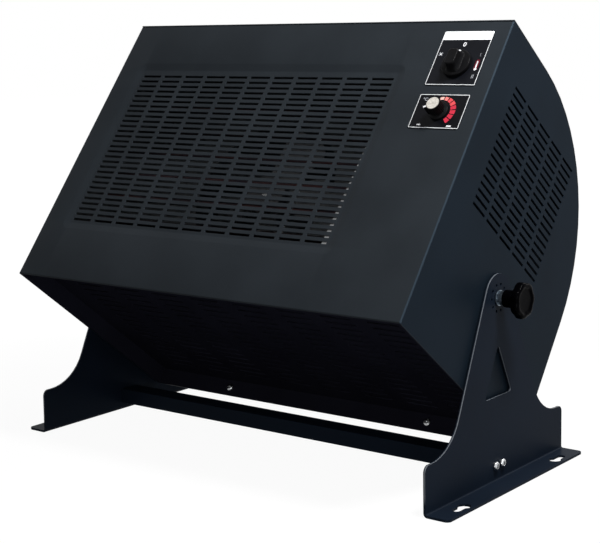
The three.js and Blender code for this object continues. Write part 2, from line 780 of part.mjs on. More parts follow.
/** The four-armed bracket that stands on the shroud and holds the motor. */
function motorBracket() {
  const foot = -(shroudDepth + shroudWall + seatGap);
  const face = -spiderDepth - spiderSheet;
  const length = 2 * spiderReach + spiderBarWidth;
  const middle = face + spiderSheet / 2;
  const across = box(length, spiderBarWidth, spiderSheet, 0, 0, middle);
  const upright = box(spiderBarWidth, length, spiderSheet, 0, 0, middle);
  let bracket = solid(across).add(solid(upright)).add(solid(barZ(motorRadius, face, face + spiderSheet)));
  const legEnd = spiderReach + (spiderBarWidth - spiderSheet) / 2;
  for (let i = 0; i < 4; i += 1) {
    const leg = box(spiderSheet, spiderBarWidth, foot - face, legEnd, 0, (foot + face) / 2);
    bracket = bracket.add(solid(leg.rotateZ((i * Math.PI) / 2)));
  }
  return bracket.subtract(holeZ(motorShaftRadius + 2 * boreGap, face, foot));
}

/** The motor's can behind the bracket, with a bore for its shaft. */
function fanMotor() {
  const can = solid(barZ(motorRadius, -(motorDepth + motorLength), -motorDepth));
  const floor = cutOver - (motorDepth + shaftBedding + seatGap);
  return can.subtract(holeZ(motorShaftRadius + boreGap, floor, -motorDepth));
}

/** The motor's shaft, from its bearing in the can to the front of the hub. */
function motorShaft() {
  const front = fanCentre + hubLength / 2 - seatGap;
  return solid(barZ(motorShaftRadius, -(motorDepth + shaftBedding), front, 0, 0, smallSteps));
}

/** Hub and pitched blades, centred on the shroud's ring. */
function impeller() {
  const [rear, front] = [fanCentre - hubLength / 2, fanCentre + hubLength / 2];
  const tipHalf = bladeTipWidth / 2;
  const blade = new THREE.Shape();
  blade.moveTo(bladeRoot, -bladeRootWidth / 2);
  blade.lineTo(bladeShoulder, -tipHalf);
  blade.quadraticCurveTo(impellerRadius, -tipHalf, impellerRadius, 0);
  blade.quadraticCurveTo(impellerRadius, tipHalf, bladeShoulder, tipHalf);
  blade.lineTo(bladeRoot, bladeRootWidth / 2);
  blade.closePath();
  let rotor = solid(barZ(hubRadius, rear, front));
  for (let i = 0; i < bladeCount; i += 1) {
    const flat = prism(blade, -bladeThickness / 2, bladeThickness / 2);
    flat.rotateX(rad(bladePitch)).rotateZ((i / bladeCount) * 2 * Math.PI);
    rotor = rotor.add(solid(flat.translate(0, 0, fanCentre)));
  }
  return rotor.subtract(holeZ(motorShaftRadius + boreGap, rear, front));
}

// ---------------------------------------------------------------- small fittings

/** The overheat cut-out on top of the heater box. */
const thermalCutout = () => {
  const y = heaterBoxHeight / 2 + seatGap + cutoutHeight / 2;
  return solid(box(cutoutWidth, cutoutHeight, cutoutDepth, 0, y, -(heaterFront + heaterBoxDepth / 2)));
};

/** The terminal block on the inner face of the right side panel. */
const terminalBlock = () => {
  const x = sideInner - seatGap - terminalWidth / 2;
  return solid(box(terminalWidth, terminalHeight, terminalLength, x, terminalY, -terminalDepthPlace));
};

/** A cable gland through the cover's back, opening to the rear. */
function cableGland() {
  const face = casingDepth + seatGap;
  const inside = casingDepth - casingSheet - glandInside;
  const profile = [
    [glandBoreRadius, inside],
    [glandNeckRadius, inside],
    [glandNeckRadius, face],
    [glandFlangeRadius, face],
    [glandFlangeRadius, face + glandFlangeLength],
    [glandDomeRadius, face + glandFlangeLength],
    [glandDomeRadius, face + glandDomeLength],
    [glandBoreRadius, face + glandDomeLength + glandNoseLength],
    [glandBoreRadius, inside],
  ];
  return solid(turned(profile).rotateX(Math.PI).translate(glandX, glandY, 0));
}

// ---------------------------------------------------------------- assembly

/** A frame inside another, moved and turned about X. */
function frameIn(parent, x = 0, y = 0, z = 0, turnX = 0) {
  const group = new THREE.Group();
  group.position.set(x, y, z);
  group.rotation.x = turnX;
  parent.add(group);
  return group;
}

const lean = rad(casingTilt);
const frontReach = pivotDepth * Math.cos(lean) + pivotRise * Math.sin(lean);
const arcCentreBehindPivot = casingDepth - backRadius - pivotDepth;
const arcCentreAbovePivot = casingHeight - backRadius - pivotRise;
const rearReach = backRadius + arcCentreBehindPivot * Math.cos(lean) + arcCentreAbovePivot * Math.sin(lean);

const heater = new THREE.Group();
const stand = frameIn(heater, 0, (frontReach - rearReach) / 2); // the whole part centred over its origin
place(stand, "cross_tube", crossTube(), standPaint());

const tilted = frameIn(stand, 0, 0, pivotHeight, Math.PI / 2 - lean);
const casing = frameIn(tilted, 0, -pivotRise, pivotDepth);

for (const [side, turn] of [["right", 0], ["left", Math.PI]]) {
  const foot = frameIn(stand);
  foot.rotation.z = turn;
  place(foot, `${side}_bracket`, footBracket(), standPaint());
  for (const [end, y] of [["a", -tubeBoltPitch / 2], ["b", tubeBoltPitch / 2]]) {
    const seat = frameIn(foot, bracketOuter + seatGap, y, tubeCentreHeight);
    place(seat, `${side}_tube_bolt_${end}`, solid(toAlongX(tubeBolt())), zincSteel());
  }
  const clamp = frameIn(tilted);
  clamp.rotation.z = turn;
  const spacer = ringX(spacerRadius, studRadius + boreGap, halfWidth + seatGap, bracketInner - seatGap);
  place(clamp, `${side}_pivot_spacer`, spacer, blackPlastic());
  const washer = ringX(washerRadius, studRadius + boreGap, washerFace, washerFace + washerThickness);
  place(clamp, `${side}_pivot_washer`, washer, zincSteel());
  place(clamp, `${side}_pivot_nut`, clampNut(), zincSteel());
  place(clamp, `${side}_clamp_knob`, clampKnob(), blackPlastic());
  place(clamp, `${side}_clamp_stud`, clampStud(), zincSteel());
  const bossEnd = sideInner - seatGap;
  const boss = ringX(bossRadius, studRadius + boreGap, bossEnd - bossLength, bossEnd);
  place(clamp, `${side}_pivot_boss`, boss, galvanised());
}

place(casing, "front_panel", frontPanel(), casingPaint());
place(casing, "right_side_panel", sidePanel(1), casingPaint());
place(casing, "left_side_panel", sidePanel(-1), casingPaint());
place(casing, "wrap_cover", wrapCover(), casingPaint());
place(casing, "lower_grille", lowerGrille(), grillePaint());
for (const [side, x] of [["right", panScrewOffset], ["left", -panScrewOffset]]) {
  const seat = frameIn(casing, x, panScrewRise, insetInWrap + casingSheet + seatGap - casingDepth);
  place(seat, `${side}_grille_screw`, solid(grilleScrew()), zincSteel());
}
place(casing, "cable_gland", cableGland(), blackPlastic());

const selectorPlate = labelPlate(selectorPlateHeight, selectorPlateY, selectorShaftRadius, selectorY);
place(casing, "selector_plate", selectorPlate, platePrint());
const thermostatPlate = labelPlate(
  thermostatPlateHeight,
  thermostatPlateY,
  thermostatShaftRadius,
  thermostatY,
);
place(casing, "thermostat_plate", thermostatPlate, platePrint());
place(frameIn(casing, controlX, selectorY, plateTop), "selector_knob", selectorKnob(), blackPlastic());
const thermostatAxis = frameIn(casing, controlX, thermostatY, plateTop);
place(thermostatAxis, "thermostat_knob", thermostatKnob(), blackPlastic());
place(thermostatAxis, "thermostat_knob_cap", thermostatCap(), brightCap());
const selectorSwitch = switchHousing(
  selectorSwitchWidth,
  selectorSwitchDepth,
  selectorY,
  selectorShaftRadius,
  selectorShaftReach,
);
place(casing, "selector_switch", selectorSwitch, whitePlastic());
const thermostatHousing = switchHousing(
  thermostatHousingWidth,
  thermostatHousingDepth,
  thermostatY,
  thermostatShaftRadius,
  thermostatShaftReach,
);
place(casing, "thermostat_housing", thermostatHousing, whitePlastic());

const blower = frameIn(casing, frontSlotCentreX, frontSlotCentreY);
place(blower, "heater_box", heaterBox(), galvanised());
spread(elementCount, elementPitch).forEach((y, i) => {
  place(blower, `heating_element_${i + 1}`, heatingElement(y), elementSteel());
});
place(blower, "fan_shroud", fanShroud(), galvanised());
place(blower, "motor_bracket", motorBracket(), galvanised());
place(blower, "fan_motor", fanMotor(), castAluminium());
place(blower, "motor_shaft", motorShaft(), zincSteel());
place(blower, "fan_impeller", impeller(), fanAluminium());
place(blower, "thermal_cutout", thermalCutout(), whitePlastic());
place(casing, "terminal_block", terminalBlock(), whitePlastic());

export default heater;
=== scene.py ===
"""Looks of a fan heater in a tilting sheet-metal casing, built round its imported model."""

from __future__ import annotations

import logging
from abc import ABC, abstractmethod
from dataclasses import dataclass
from enum import Enum
from math import cos, hypot, pi, radians, sin, sqrt
from typing import Callable, Iterable, Sequence

import bpy
from mathutils import Matrix, Vector

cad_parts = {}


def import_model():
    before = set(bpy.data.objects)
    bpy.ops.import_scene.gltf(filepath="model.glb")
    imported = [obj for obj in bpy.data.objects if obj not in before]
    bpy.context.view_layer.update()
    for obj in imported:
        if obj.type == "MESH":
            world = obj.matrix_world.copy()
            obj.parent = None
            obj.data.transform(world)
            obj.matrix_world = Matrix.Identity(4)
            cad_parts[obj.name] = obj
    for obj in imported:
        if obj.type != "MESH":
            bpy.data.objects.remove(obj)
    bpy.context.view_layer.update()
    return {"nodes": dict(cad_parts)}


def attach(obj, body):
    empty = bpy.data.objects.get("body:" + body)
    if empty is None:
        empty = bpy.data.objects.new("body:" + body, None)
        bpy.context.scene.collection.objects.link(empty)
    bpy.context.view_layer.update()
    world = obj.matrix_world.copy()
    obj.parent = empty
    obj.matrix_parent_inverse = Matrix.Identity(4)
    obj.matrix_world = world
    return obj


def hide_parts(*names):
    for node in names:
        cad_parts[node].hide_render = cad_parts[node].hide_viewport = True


log = logging.getLogger("fan_heater")

MM = 0.001
TURN = 2 * pi

SEEN_RAYS = ("Is Camera Ray", "Is Glossy Ray", "Is Transmission Ray")
FINE_RELIEF = 0.00001  # metres: a grain that only the light shows
WELD_REACH = 0.00001  # metres
ROUNDED_FROM = 55.0  # degrees: edges flatter than this aren't rounded
KNOB_ANGLE = 50.0  # degrees: a knob's edges stay sharp from here
CROSS_WAIST = 0.45  # how near its middle a cross recess is between its arms, as a share
FLAT_WEIGHT = 80  # how much a wide face counts for more than a narrow one in the shading

Pair = tuple[float, float]
Point = tuple[float, float, float]
Colour = tuple[float, float, float, float]
Profile = tuple[Pair, ...]
Ring = list[Point]
Outline = Callable[[float, float], float]
Object = bpy.types.Object
Material = bpy.types.Material
Socket = bpy.types.NodeSocket
Nodes = dict[str, Object]
Sockets = dict[str, object]

CENTRE: Point = (0, 0, 0)
ACROSS: Point = (1, 0, 0)
BACK: Point = (0, 1, 0)
RISE: Point = (0, 0, 1)

PIVOT_Y, PIVOT_Z = -7.434, 222.0  # the casing's tilting axis, in millimetres
PIVOT: Point = (0, PIVOT_Y * MM, PIVOT_Z * MM)
PLATE_TOP = 1.1  # how far the label plates stand out of the face, in millimetres
FILM = 0.06  # the thickness of printed ink in millimetres


class Body(Enum):
    """The bodies that a piece can ride on."""

    STAND = "stand"
    CASING = "casing"
    RIGHT_CLAMP = "right_clamp"
    LEFT_CLAMP = "left_clamp"
    SELECTOR = "selector"
    THERMOSTAT = "thermostat_dial"


class Side(Enum):
    """The two ends of the heater along X."""

    RIGHT = 1
    LEFT = -1

    @property
    def word(self) -> str:
        """The side as a piece's name starts with it."""
        return self.name.lower()

    def outward(self, x: float, y: float, z: float) -> Matrix:
        """A frame at a place in millimetres on this side, its Z away from the casing."""
        place = Matrix.Translation(Vector((self.value * x, y, z)) * MM)
        return place @ Matrix.Rotation(self.value * TURN / 4, 4, "Y")


# -------- shader maths


def _operation(name: str, swapped: bool = False) -> Callable[..., Value]:
    """A method that adds a Math node for an operation on a value and other terms.

    Args:
        name: The Math node's operation.
        swapped: Whether the value comes after the other terms.

    Returns:
        The method.
    """

    def apply(self: Value, *others: Value | float) -> Value:
        """Adds the node."""
        terms = (*others, self) if swapped else (self, *others)
        return self.tree.value("ShaderNodeMath", {"operation": name}, dict(enumerate(terms)))

    return apply


@dataclass(frozen=True)
class Value:
    """A number socket that can be used in an expression."""

    tree: NodeTree
    socket: Socket

    __add__ = __radd__ = _operation("ADD")
    __mul__ = __rmul__ = _operation("MULTIPLY")
    __sub__ = _operation("SUBTRACT")
    __rsub__ = _operation("SUBTRACT", swapped=True)
    __pow__ = _operation("POWER")
    __abs__ = _operation("ABSOLUTE")
    at_least = _operation("MAXIMUM")
    at_most = _operation("MINIMUM")
    root = _operation("SQRT")
    sine = _operation("SINE")

    def step(self, low: float, high: float) -> Value:
        """A smooth step from 0 at low to 1 at high.

        Args:
            low: Where the step starts.
            high: Where the step ends.

        Returns:
            The step as a value.
        """
        settings = {"interpolation_type": "SMOOTHSTEP"}
        inputs = {"Value": self, "From Min": low, "From Max": high}
        return self.tree.value("ShaderNodeMapRange", settings, inputs)


class NodeTree:
    """The nodes of one material or world."""

    def __init__(self, tree: bpy.types.NodeTree) -> None:
        """Empties a material's or world's own tree for new nodes.

        Args:
            tree: The tree that is filled anew.
        """
        self.nodes = tree.nodes
        self.links = tree.links
        self.nodes.clear()

    def node(self, kind: str, settings: dict, inputs: dict) -> bpy.types.Node:
        """Adds a node, sets it up and fills its sockets.

        Args:
            kind: The node's type.
            settings: Its properties.
            inputs: Socket name or number to a number, colour, socket or Value.

        Returns:
            The new node.
        """
        made = self.nodes.new(kind)
        for key, value in settings.items():
            setattr(made, key, value)
        for key, value in inputs.items():
            socket = made.inputs[key]
            if isinstance(value, Value):
                value = value.socket
            if isinstance(value, Socket):
                self.links.new(value, socket)
            else:
                socket.default_value = value
        return made

    def value(self, kind: str, settings: dict, inputs: dict) -> Value:
        """Adds a node and returns its first output as a value."""
        return Value(self, self.node(kind, settings, inputs).outputs[0])

    def seen(self) -> Value:
        """Whether a ray shows what it meets, straight, in a mirror or through a pane.

        Returns:
            1 for such a ray and 0 for any other.
        """
        path = self.node("ShaderNodeLightPath", {}, {})
        found, *others = (Value(self, path.outputs[ray]) for ray in SEEN_RAYS)
        for other in others:
            found = found.at_least(other)
        return found


class Shader(NodeTree):
    """A material with the nodes of one finish."""

    def __init__(self, name: str) -> None:
        """Makes an empty material.

        Args:
            name: The material's name.
        """
        self.material = bpy.data.materials.new(name)
        self.material.use_nodes = True
        super().__init__(self.material.node_tree)

    def place(self) -> Socket:
        """The point on the piece, in metres in the piece's own frame."""
        return self.node("ShaderNodeTexCoord", {}, {}).outputs["Object"]

    def _vector(self, operation: str, first: Socket, second: object) -> bpy.types.Node:
        """Adds a Vector Math node."""
        return self.node("ShaderNodeVectorMath", {"operation": operation}, {0: first, 1: second})

    def along(self, origin: Point, direction: Point) -> Value:
        """How far the point lies from an origin along a direction, in millimetres.

        Args:
            origin: The point that is measured from, in metres.
            direction: A direction of length 1.

        Returns:
            The length as a value.
        """
        moved = self._vector("SUBTRACT", self.place(), origin).outputs[0]
        dot = self._vector("DOT_PRODUCT", moved, direction).outputs["Value"]
        return Value(self, dot) * (1 / MM)

    def away(self, origin: Point, first: Point, second: Point) -> Value:
        """How far the point lies from an axis, given the two directions square to it."""
        a, b = self.along(origin, first), self.along(origin, second)
        return (a * a + b * b).root()

    def noise(self, size: float, detail: float = 2.0, scale: Point = (1, 1, 1)) -> Value:
        """Noise from 0 to 1 whose grains are about a size in metres.

        Args:
            size: The grains' size.
            detail: How many finer layers are added.
            scale: How much finer the grains are along X, Y and Z.

        Returns:
            The noise as a value.
        """
        place = self._vector("MULTIPLY", self.place(), scale).outputs[0]
        inputs = {"Vector": place, "Scale": 1 / size, "Detail": detail}
        return self.value("ShaderNodeTexNoise", {}, inputs)

    def mix(self, factor: Value, low: object, high: object) -> Socket:
        """Blends two colours or colour sockets, from low at factor 0 to high at 1."""
        settings = {"data_type": "RGBA"}
        return self.node("ShaderNodeMix", settings, {0: factor, 6: low, 7: high}).outputs[2]

    def bump(self, height: Value, depth: float = FINE_RELIEF) -> Socket:
        """Turns a height from 0 to 1 into a normal, for a depth in metres."""
        inputs = {"Height": height, "Distance": depth, "Strength": 1.0}
        return self.node("ShaderNodeBump", {}, inputs).outputs[0]

    def surface(self, **inputs: object) -> Material:
        """Ends the material in a Principled shader, given its sockets with underscores.

        Args:
            **inputs: What each socket gets.

        Returns:
            The finished material.
        """
        named = {key.replace("_", " "): value for key, value in inputs.items()}
        shader = self.node("ShaderNodeBsdfPrincipled", {}, named)
        return self.end(shader.outputs[0])

    def end(self, shader: Socket) -> Material:
        """Ends the material in a shader and returns it."""
        self.node("ShaderNodeOutputMaterial", {}, {"Surface": shader})
        return self.material


def rgb(red: float, green: float, blue: float) -> Colour:
    """An opaque colour."""
    return (red, green, blue, 1.0)


def shade(colour: Colour, share: float) -> Colour:
    """A colour made darker or lighter by a share."""
    return rgb(*(share * channel for channel in colour[:3]))


# -------- the leaning face


@dataclass(frozen=True)
class Face:
    """The heater's front face, from the middle of its lower edge, in metres."""

    lean: float = radians(37.6)
    foot: Point = (0, -0.20821, 0.22516)

    @property
    def up(self) -> Vector:
        """Up the face."""
        return Vector((0, sin(self.lean), cos(self.lean)))

    @property
    def out(self) -> Vector:
        """Out of the face."""
        return Vector((0, -cos(self.lean), sin(self.lean)))

    def frame(self, x: float = 0, up: float = 0, out: float = 0) -> Matrix:
        """A frame on the face at a point in millimetres, its Z out of the face.

        Args:
            x: How far across the face.
            up: How far up the face.
            out: How far out of the face.

        Returns:
            The frame.
        """
        across = Vector(ACROSS)
        place = Vector(self.foot) + (x * across + up * self.up + out * self.out) * MM
        turn = Matrix((across, self.up, self.out)).transposed().to_4x4()
        return Matrix.Translation(place) @ turn


FACE = Face()


# -------- finishes


@dataclass(frozen=True)
class Finish(ABC):
    """A finish with a name, which works out what its shader gets."""

    name: str

    @abstractmethod
    def sockets(self, shader: Shader) -> Sockets:
        """The Principled shader's sockets, with underscores for spaces."""

    def make(self) -> Material:
        """Builds the material."""
        shader = Shader(self.name)
        return shader.surface(**self.sockets(shader))


@dataclass(frozen=True)
class PowderCoat(Finish):
    """Baked powder paint with a fine, even grain."""

    colour: Colour
    gloss: float = 0.42
    sheen: float = 0.02
    tint: Colour = (0.8, 0.92, 1.0, 1.0)
    cloud: float = 0.09
    grain: float = 0.0009
    relief: float = 0.00006
    fleck_share: float = 0.35
    fleck_tone: float = 1.7
    # the band along X where edges get a glossier coat and a painted highlight, and that highlight's
    # colour
    coat_and_highlight_band: Pair | None = None
    painted_highlight_colour: Colour = (0.0, 0.0, 0.0, 1.0)
    edge_coat: float = 0.0
    edge_gloss: float = 0.2
    edge_foot: float = 12.0
    edge_clear: float = 0.0
    edge_soft: float = 0.15
    clear_soft: float = 1.0

    def _edge(self, shader: Shader) -> Value:
        """Where the edges get a glossier coat and a painted highlight, from their distance along X.

        Args:
            shader: The material's nodes.

        Returns:
            1 on the edges and 0 elsewhere.
        """
        low, high = self.coat_and_highlight_band
        soft = self.edge_soft
        across = abs(shader.along(CENTRE, ACROSS))
        band = across.step(low - soft, low + soft) * (1 - across.step(high - soft, high + soft))
        raised = shader.along(CENTRE, RISE).step(self.edge_foot, 2 * self.edge_foot)
        ring = shader.away(PIVOT, BACK, RISE)
        return band * raised * ring.step(self.edge_clear, self.edge_clear + self.clear_soft)

    def sockets(self, shader: Shader) -> Sockets:
        """A cloudy ground with pale flecks, and on the edges a glossier coat over a painted
        highlight.

        Args:
            shader: The material's nodes.

        Returns:
            What each of the Principled shader's sockets gets.
        """
        cloud = shader.noise(self.cloud, 3.0)
        grain = shader.noise(self.grain, 2.0)
        orange_peel = shader.noise(self.grain * 5, 1.0)
        dark, pale = shade(self.colour, 0.9), shade(self.colour, 1.1)
        flecks = grain.step(0.58, 0.72) * self.fleck_share
        ground = shader.mix(cloud.step(0.3, 0.7), dark, pale)
        colour = shader.mix(flecks, ground, shade(self.colour, self.fleck_tone))
        found = dict(
            Base_Color=colour,
            Roughness=self.gloss + 0.12 * (grain - 0.5) + 0.06 * (cloud - 0.5),
            Specular_IOR_Level=self.sheen,
            Specular_Tint=self.tint,
            Normal=shader.bump(grain * 0.6 + orange_peel * 0.4, self.relief),
        )
        if self.coat_and_highlight_band:
            edge = self._edge(shader)
            found.update(
                # painted highlight: the edges' base colour is lightened where light would catch
                # them
                Base_Color=shader.mix(edge, colour, self.painted_highlight_colour),
                Coat_Weight=self.edge_coat * edge,
                Coat_Roughness=self.edge_gloss,
            )
        return found


@dataclass(frozen=True)
class MouldedPlastic(Finish):
    """Plastic from a finely eroded mould."""

    colour: Colour
    gloss: float = 0.34
    sheen: float = 0.03
    grain: float = 0.0005
    relief: float = 0.00003

    def sockets(self, shader: Shader) -> Sockets:
        """A little flow in the tone and a fine grain.

        Args:
            shader: The material's nodes.

        Returns:
            What each of the Principled shader's sockets gets.
        """
        grain = shader.noise(self.grain, 1.0)
        flow = shader.noise(0.012, 2.0)
        return dict(
            Base_Color=shader.mix(flow, shade(self.colour, 0.85), shade(self.colour, 1.2)),
            Roughness=self.gloss + 0.1 * (grain - 0.5) + 0.05 * (flow - 0.5),
            Specular_IOR_Level=self.sheen,
            Normal=shader.bump(grain, self.relief),
        )


@dataclass(frozen=True)
class PlatedSteel(Finish):
    """Zinc plating with drawn streaks and small dull spots."""

    colour: Colour
    gloss: float = 0.24
    streak: Point = (1, 1, 12)

    def sockets(self, shader: Shader) -> Sockets:
        """Streaks along the drawing and dull spots.

        Args:
            shader: The material's nodes.

        Returns:
            What each of the Principled shader's sockets gets.
        """
        streaks = shader.noise(0.0012, 2.0, self.streak)
        spots = shader.noise(0.004, 3.0).step(0.5, 0.75)
        return dict(
            Base_Color=shader.mix(spots, self.colour, shade(self.colour, 0.72)),
            Metallic=1.0,
            Roughness=self.gloss + 0.16 * (streaks - 0.5) + 0.12 * spots,
            Normal=shader.bump(streaks),
        )


@dataclass(frozen=True)
class GalvanisedSheet(Finish):
    """Zinc-coated sheet with its crystal pattern."""

    colour: Colour
    crystal: float = 0.009

    def sockets(self, shader: Shader) -> Sockets:
        """Crystals of many tones.

        Args:
            shader: The material's nodes.

        Returns:
            What each of the Principled shader's sockets gets.
        """
        inputs = {"Vector": shader.place(), "Scale": 1 / self.crystal}
        cells = shader.node("ShaderNodeTexVoronoi", {}, inputs)
        tone = shader.value("ShaderNodeSeparateColor", {}, {0: cells.outputs["Color"]})
        return dict(
            Base_Color=shader.mix(tone, shade(self.colour, 0.75), shade(self.colour, 1.1)),
            Metallic=1.0,
            Roughness=0.34 + 0.2 * tone,
            Normal=shader.bump(shader.noise(0.0015, 2.0), 0.00002),
        )


@dataclass(frozen=True)
class HeatedRod(Finish):
    """Steel sheath with straw and blue heat tint along its length."""

    straw: Colour
    blue: Colour
    band: float = 0.06

    def sockets(self, shader: Shader) -> Sockets:
        """Straw and blue bands over drawn streaks.

        Args:
            shader: The material's nodes.

        Returns:
            What each of the Principled shader's sockets gets.
        """
        tint = shader.noise(self.band, 2.0, (1, 0.3, 0.3)).step(0.35, 0.65)
        drawn = shader.noise(0.0008, 2.0, (0.05, 1, 1))
        return dict(
            Base_Color=shader.mix(tint, self.straw, self.blue),
            Metallic=1.0,
            Roughness=0.3 + 0.2 * drawn,
            Normal=shader.bump(drawn),
        )


@dataclass(frozen=True)
class SpunDisc(Finish):
    """A turned metal disc with fine rings about its centre on the face."""

    colour: Colour
    centre: Point
    ring: float = 0.35

    def sockets(self, shader: Shader) -> Sockets:
        """Rings about the centre.

        Args:
            shader: The material's nodes.

        Returns:
            What each of the Principled shader's sockets gets.
        """
        radius = shader.away(self.centre, ACROSS, tuple(FACE.up))
        height = (radius * (TURN / self.ring)).sine() * 0.5 + 0.5
        brush = shader.noise(0.002, 3.0)
        return dict(
            Base_Color=shader.mix(brush.step(0.35, 0.65), shade(self.colour, 0.72), self.colour),
            Metallic=1.0,
            Roughness=0.22 + 0.1 * height + 0.08 * brush,
            Normal=shader.bump(height),
        )


@dataclass(frozen=True)
class PrintedPlate(Finish):
    """A dark label plate with a pale outline and, where wanted, a pale head band."""

    height: float
    centre: Pair
    width: float = 68.5
    corner: float = 1.7
    band: float = 0.0
    line: float = 0.9
    inset: float = 0.35
    soft: float = 0.12
    ground: Colour = rgb(0.0045, 0.005, 0.0068)
    ink: Colour = rgb(0.56, 0.57, 0.58)
    band_ink: Colour = rgb(0.78, 0.79, 0.8)

    def sockets(self, shader: Shader) -> Sockets:
        """An outline and a head band on a dusty ground.

        Args:
            shader: The material's nodes.

        Returns:
            What each of the Principled shader's sockets gets.
        """
        middle = tuple(FACE.frame(*self.centre).translation)
        across = shader.along(middle, ACROSS)
        rise = shader.along(middle, tuple(FACE.up))
        over_x = abs(across) - (self.width / 2 - self.corner)
        over_y = abs(rise) - (self.height / 2 - self.corner)
        far = (over_x.at_least(0) ** 2 + over_y.at_least(0) ** 2).root()
        edge = far + over_x.at_least(over_y).at_most(0) - self.corner
        soft = self.soft
        outer = -self.inset
        inner = outer - self.line
        line = edge.step(inner - soft, inner + soft)
        within = 1 - edge.step(outer - soft, outer + soft)
        fine = shader.noise(0.0007, 1.0)
        dust = shader.noise(0.02, 3.0)
        ground = shader.mix(dust, shade(self.ground, 0.8), shade(self.ground, 1.3))
        colour = shader.mix(line * within, ground, self.ink)
        if self.band:
            foot = self.height / 2 - self.band
            band = rise.step(foot - soft, foot + soft) * within
            colour = shader.mix(band, colour, self.band_ink)
        return dict(
            Base_Color=colour,
            Roughness=0.3 + 0.12 * (fine - 0.5) + 0.1 * line * within,
            Specular_IOR_Level=0.04,
            Normal=shader.bump(fine),
        )


@dataclass(frozen=True)
class Ink(Finish):
    """Screen-printed ink, a little uneven."""

    colour: Colour

    def sockets(self, shader: Shader) -> Sockets:
        """Uneven cover.

        Args:
            shader: The material's nodes.

        Returns:
            What each of the Principled shader's sockets gets.
        """
        cover = shader.noise(0.0006, 2.0)
        return dict(
            Base_Color=shader.mix(cover, shade(self.colour, 0.8), self.colour),
            Roughness=0.42 + 0.1 * (cover - 0.5),
            Specular_IOR_Level=0.06,
        )


class Finishes:
    """The heater's finishes, each made once."""

    def __init__(self) -> None:
        """Builds every material."""
        anthracite = rgb(0.0161, 0.0194, 0.0231)
        blue_black = rgb(0.0064, 0.0105, 0.0160)
        self.casing = PowderCoat("casing_powder_coat", anthracite, 0.44).make()
        # the front sheet's side folds get a bluish painted highlight
        front_fold_highlight = {"coat_and_highlight_band": (298.4, 300.2), "painted_highlight_colour": rgb(0.023, 0.033, 0.044)}
        self.front = PowderCoat("front_powder_coat", anthracite, 0.44, **front_fold_highlight).make()
        # the slot walls and sheet edges get the paint lightened 1.6 times: a painted highlight,
        # with a glossier coat
        self.cut_edge = PowderCoat("cut_edge_painted_highlight", shade(anthracite, 1.6), 0.3, 0.2).make()
        self.sides = PowderCoat("side_powder_coat", blue_black, 0.46).make()
        self.tray = PowderCoat("tray_powder_coat", rgb(0.0135, 0.0135, 0.021), 0.3, 0.0).make()
        # the brackets' cut edges get a painted highlight and a glossier coat, kept off the index
        # holes round the pivot
        self.stand = PowderCoat(
            "stand_powder_coat",
            rgb(0.0053, 0.0085, 0.0148),
            0.42,
            coat_and_highlight_band=(303.9, 305.2),
            painted_highlight_colour=rgb(0.12, 0.13, 0.145),
            edge_coat=0.6,
            edge_clear=19.0,
        ).make()
        self.knob = MouldedPlastic("knob_plastic", rgb(0.004, 0.004, 0.0045), 0.32).make()
        self.grip = MouldedPlastic("clamp_plastic", rgb(0.0005, 0.0005, 0.0008), 0.2, 0.01).make()
        self.gland = MouldedPlastic("gland_plastic", rgb(0.012, 0.012, 0.013), 0.42).make()
        self.switch = MouldedPlastic("switch_plastic", rgb(0.62, 0.6, 0.55), 0.45).make()
        self.plating = PlatedSteel("zinc_plating", rgb(0.5, 0.51, 0.52)).make()
        self.passivated = PlatedSteel("passivated_steel", rgb(0.19, 0.23, 0.27), 0.3).make()
        # the inside metals are darkened far below their own tones: painted shade for the dark
        # inside of the casing; the lip and guard strips keep a lighter sheet
        self.sheet = GalvanisedSheet("galvanised_sheet", rgb(0.06, 0.063, 0.066)).make()
        self.bare_sheet = GalvanisedSheet("bare_sheet_edge", rgb(0.3, 0.305, 0.31)).make()
        self.motor = PlatedSteel("cast_motor_shell_painted_shade", rgb(0.05, 0.052, 0.055), 0.45).make()
        self.fan = PlatedSteel("pressed_fan_metal", rgb(0.07, 0.072, 0.076), 0.35).make()
        self.rod = HeatedRod("heated_rod_painted_shade", rgb(0.05, 0.022, 0.022), rgb(0.022, 0.018, 0.024)).make()
        self.white_ink = Ink("white_ink", rgb(0.8, 0.8, 0.82)).make()
        self.grey_ink = Ink("grey_ink", rgb(0.26, 0.27, 0.29)).make()
        pale_reds = (rgb(0.8, 0.48, 0.42), rgb(0.72, 0.2, 0.18), rgb(0.62, 0.07, 0.08))
        reds = (*pale_reds, rgb(0.5, 0.03, 0.055), rgb(0.1, 0.006, 0.012))
        self.reds = [Ink(f"red_ink_{i}", red).make() for i, red in enumerate(reds)]


# -------- making meshes


def new_object(name: str, data: bpy.types.ID) -> Object:
    """Makes an object of some data and links it to the scene.

    Args:
        name: The object's name.
        data: Its mesh, letters, lamp or camera.

    Returns:
        The new object.
    """
    made = bpy.data.objects.new(name, data)
    bpy.context.scene.collection.objects.link(made)
    return made


def mesh_piece(
    name: str, points: Iterable[Sequence[float]], faces: Iterable[Sequence[int]]
) -> Object:
    """Makes a piece from points in metres and the corner numbers of its faces.

    Args:
        name: The piece's name.
        points: The corners.
        faces: The corner numbers of each face.

    Returns:
        The new piece.
    """
    mesh = bpy.data.meshes.new(name)
    mesh.from_pydata([tuple(p) for p in points], [], [tuple(f) for f in faces])
    mesh.validate()
    mesh.update()
    return new_object(name, mesh)


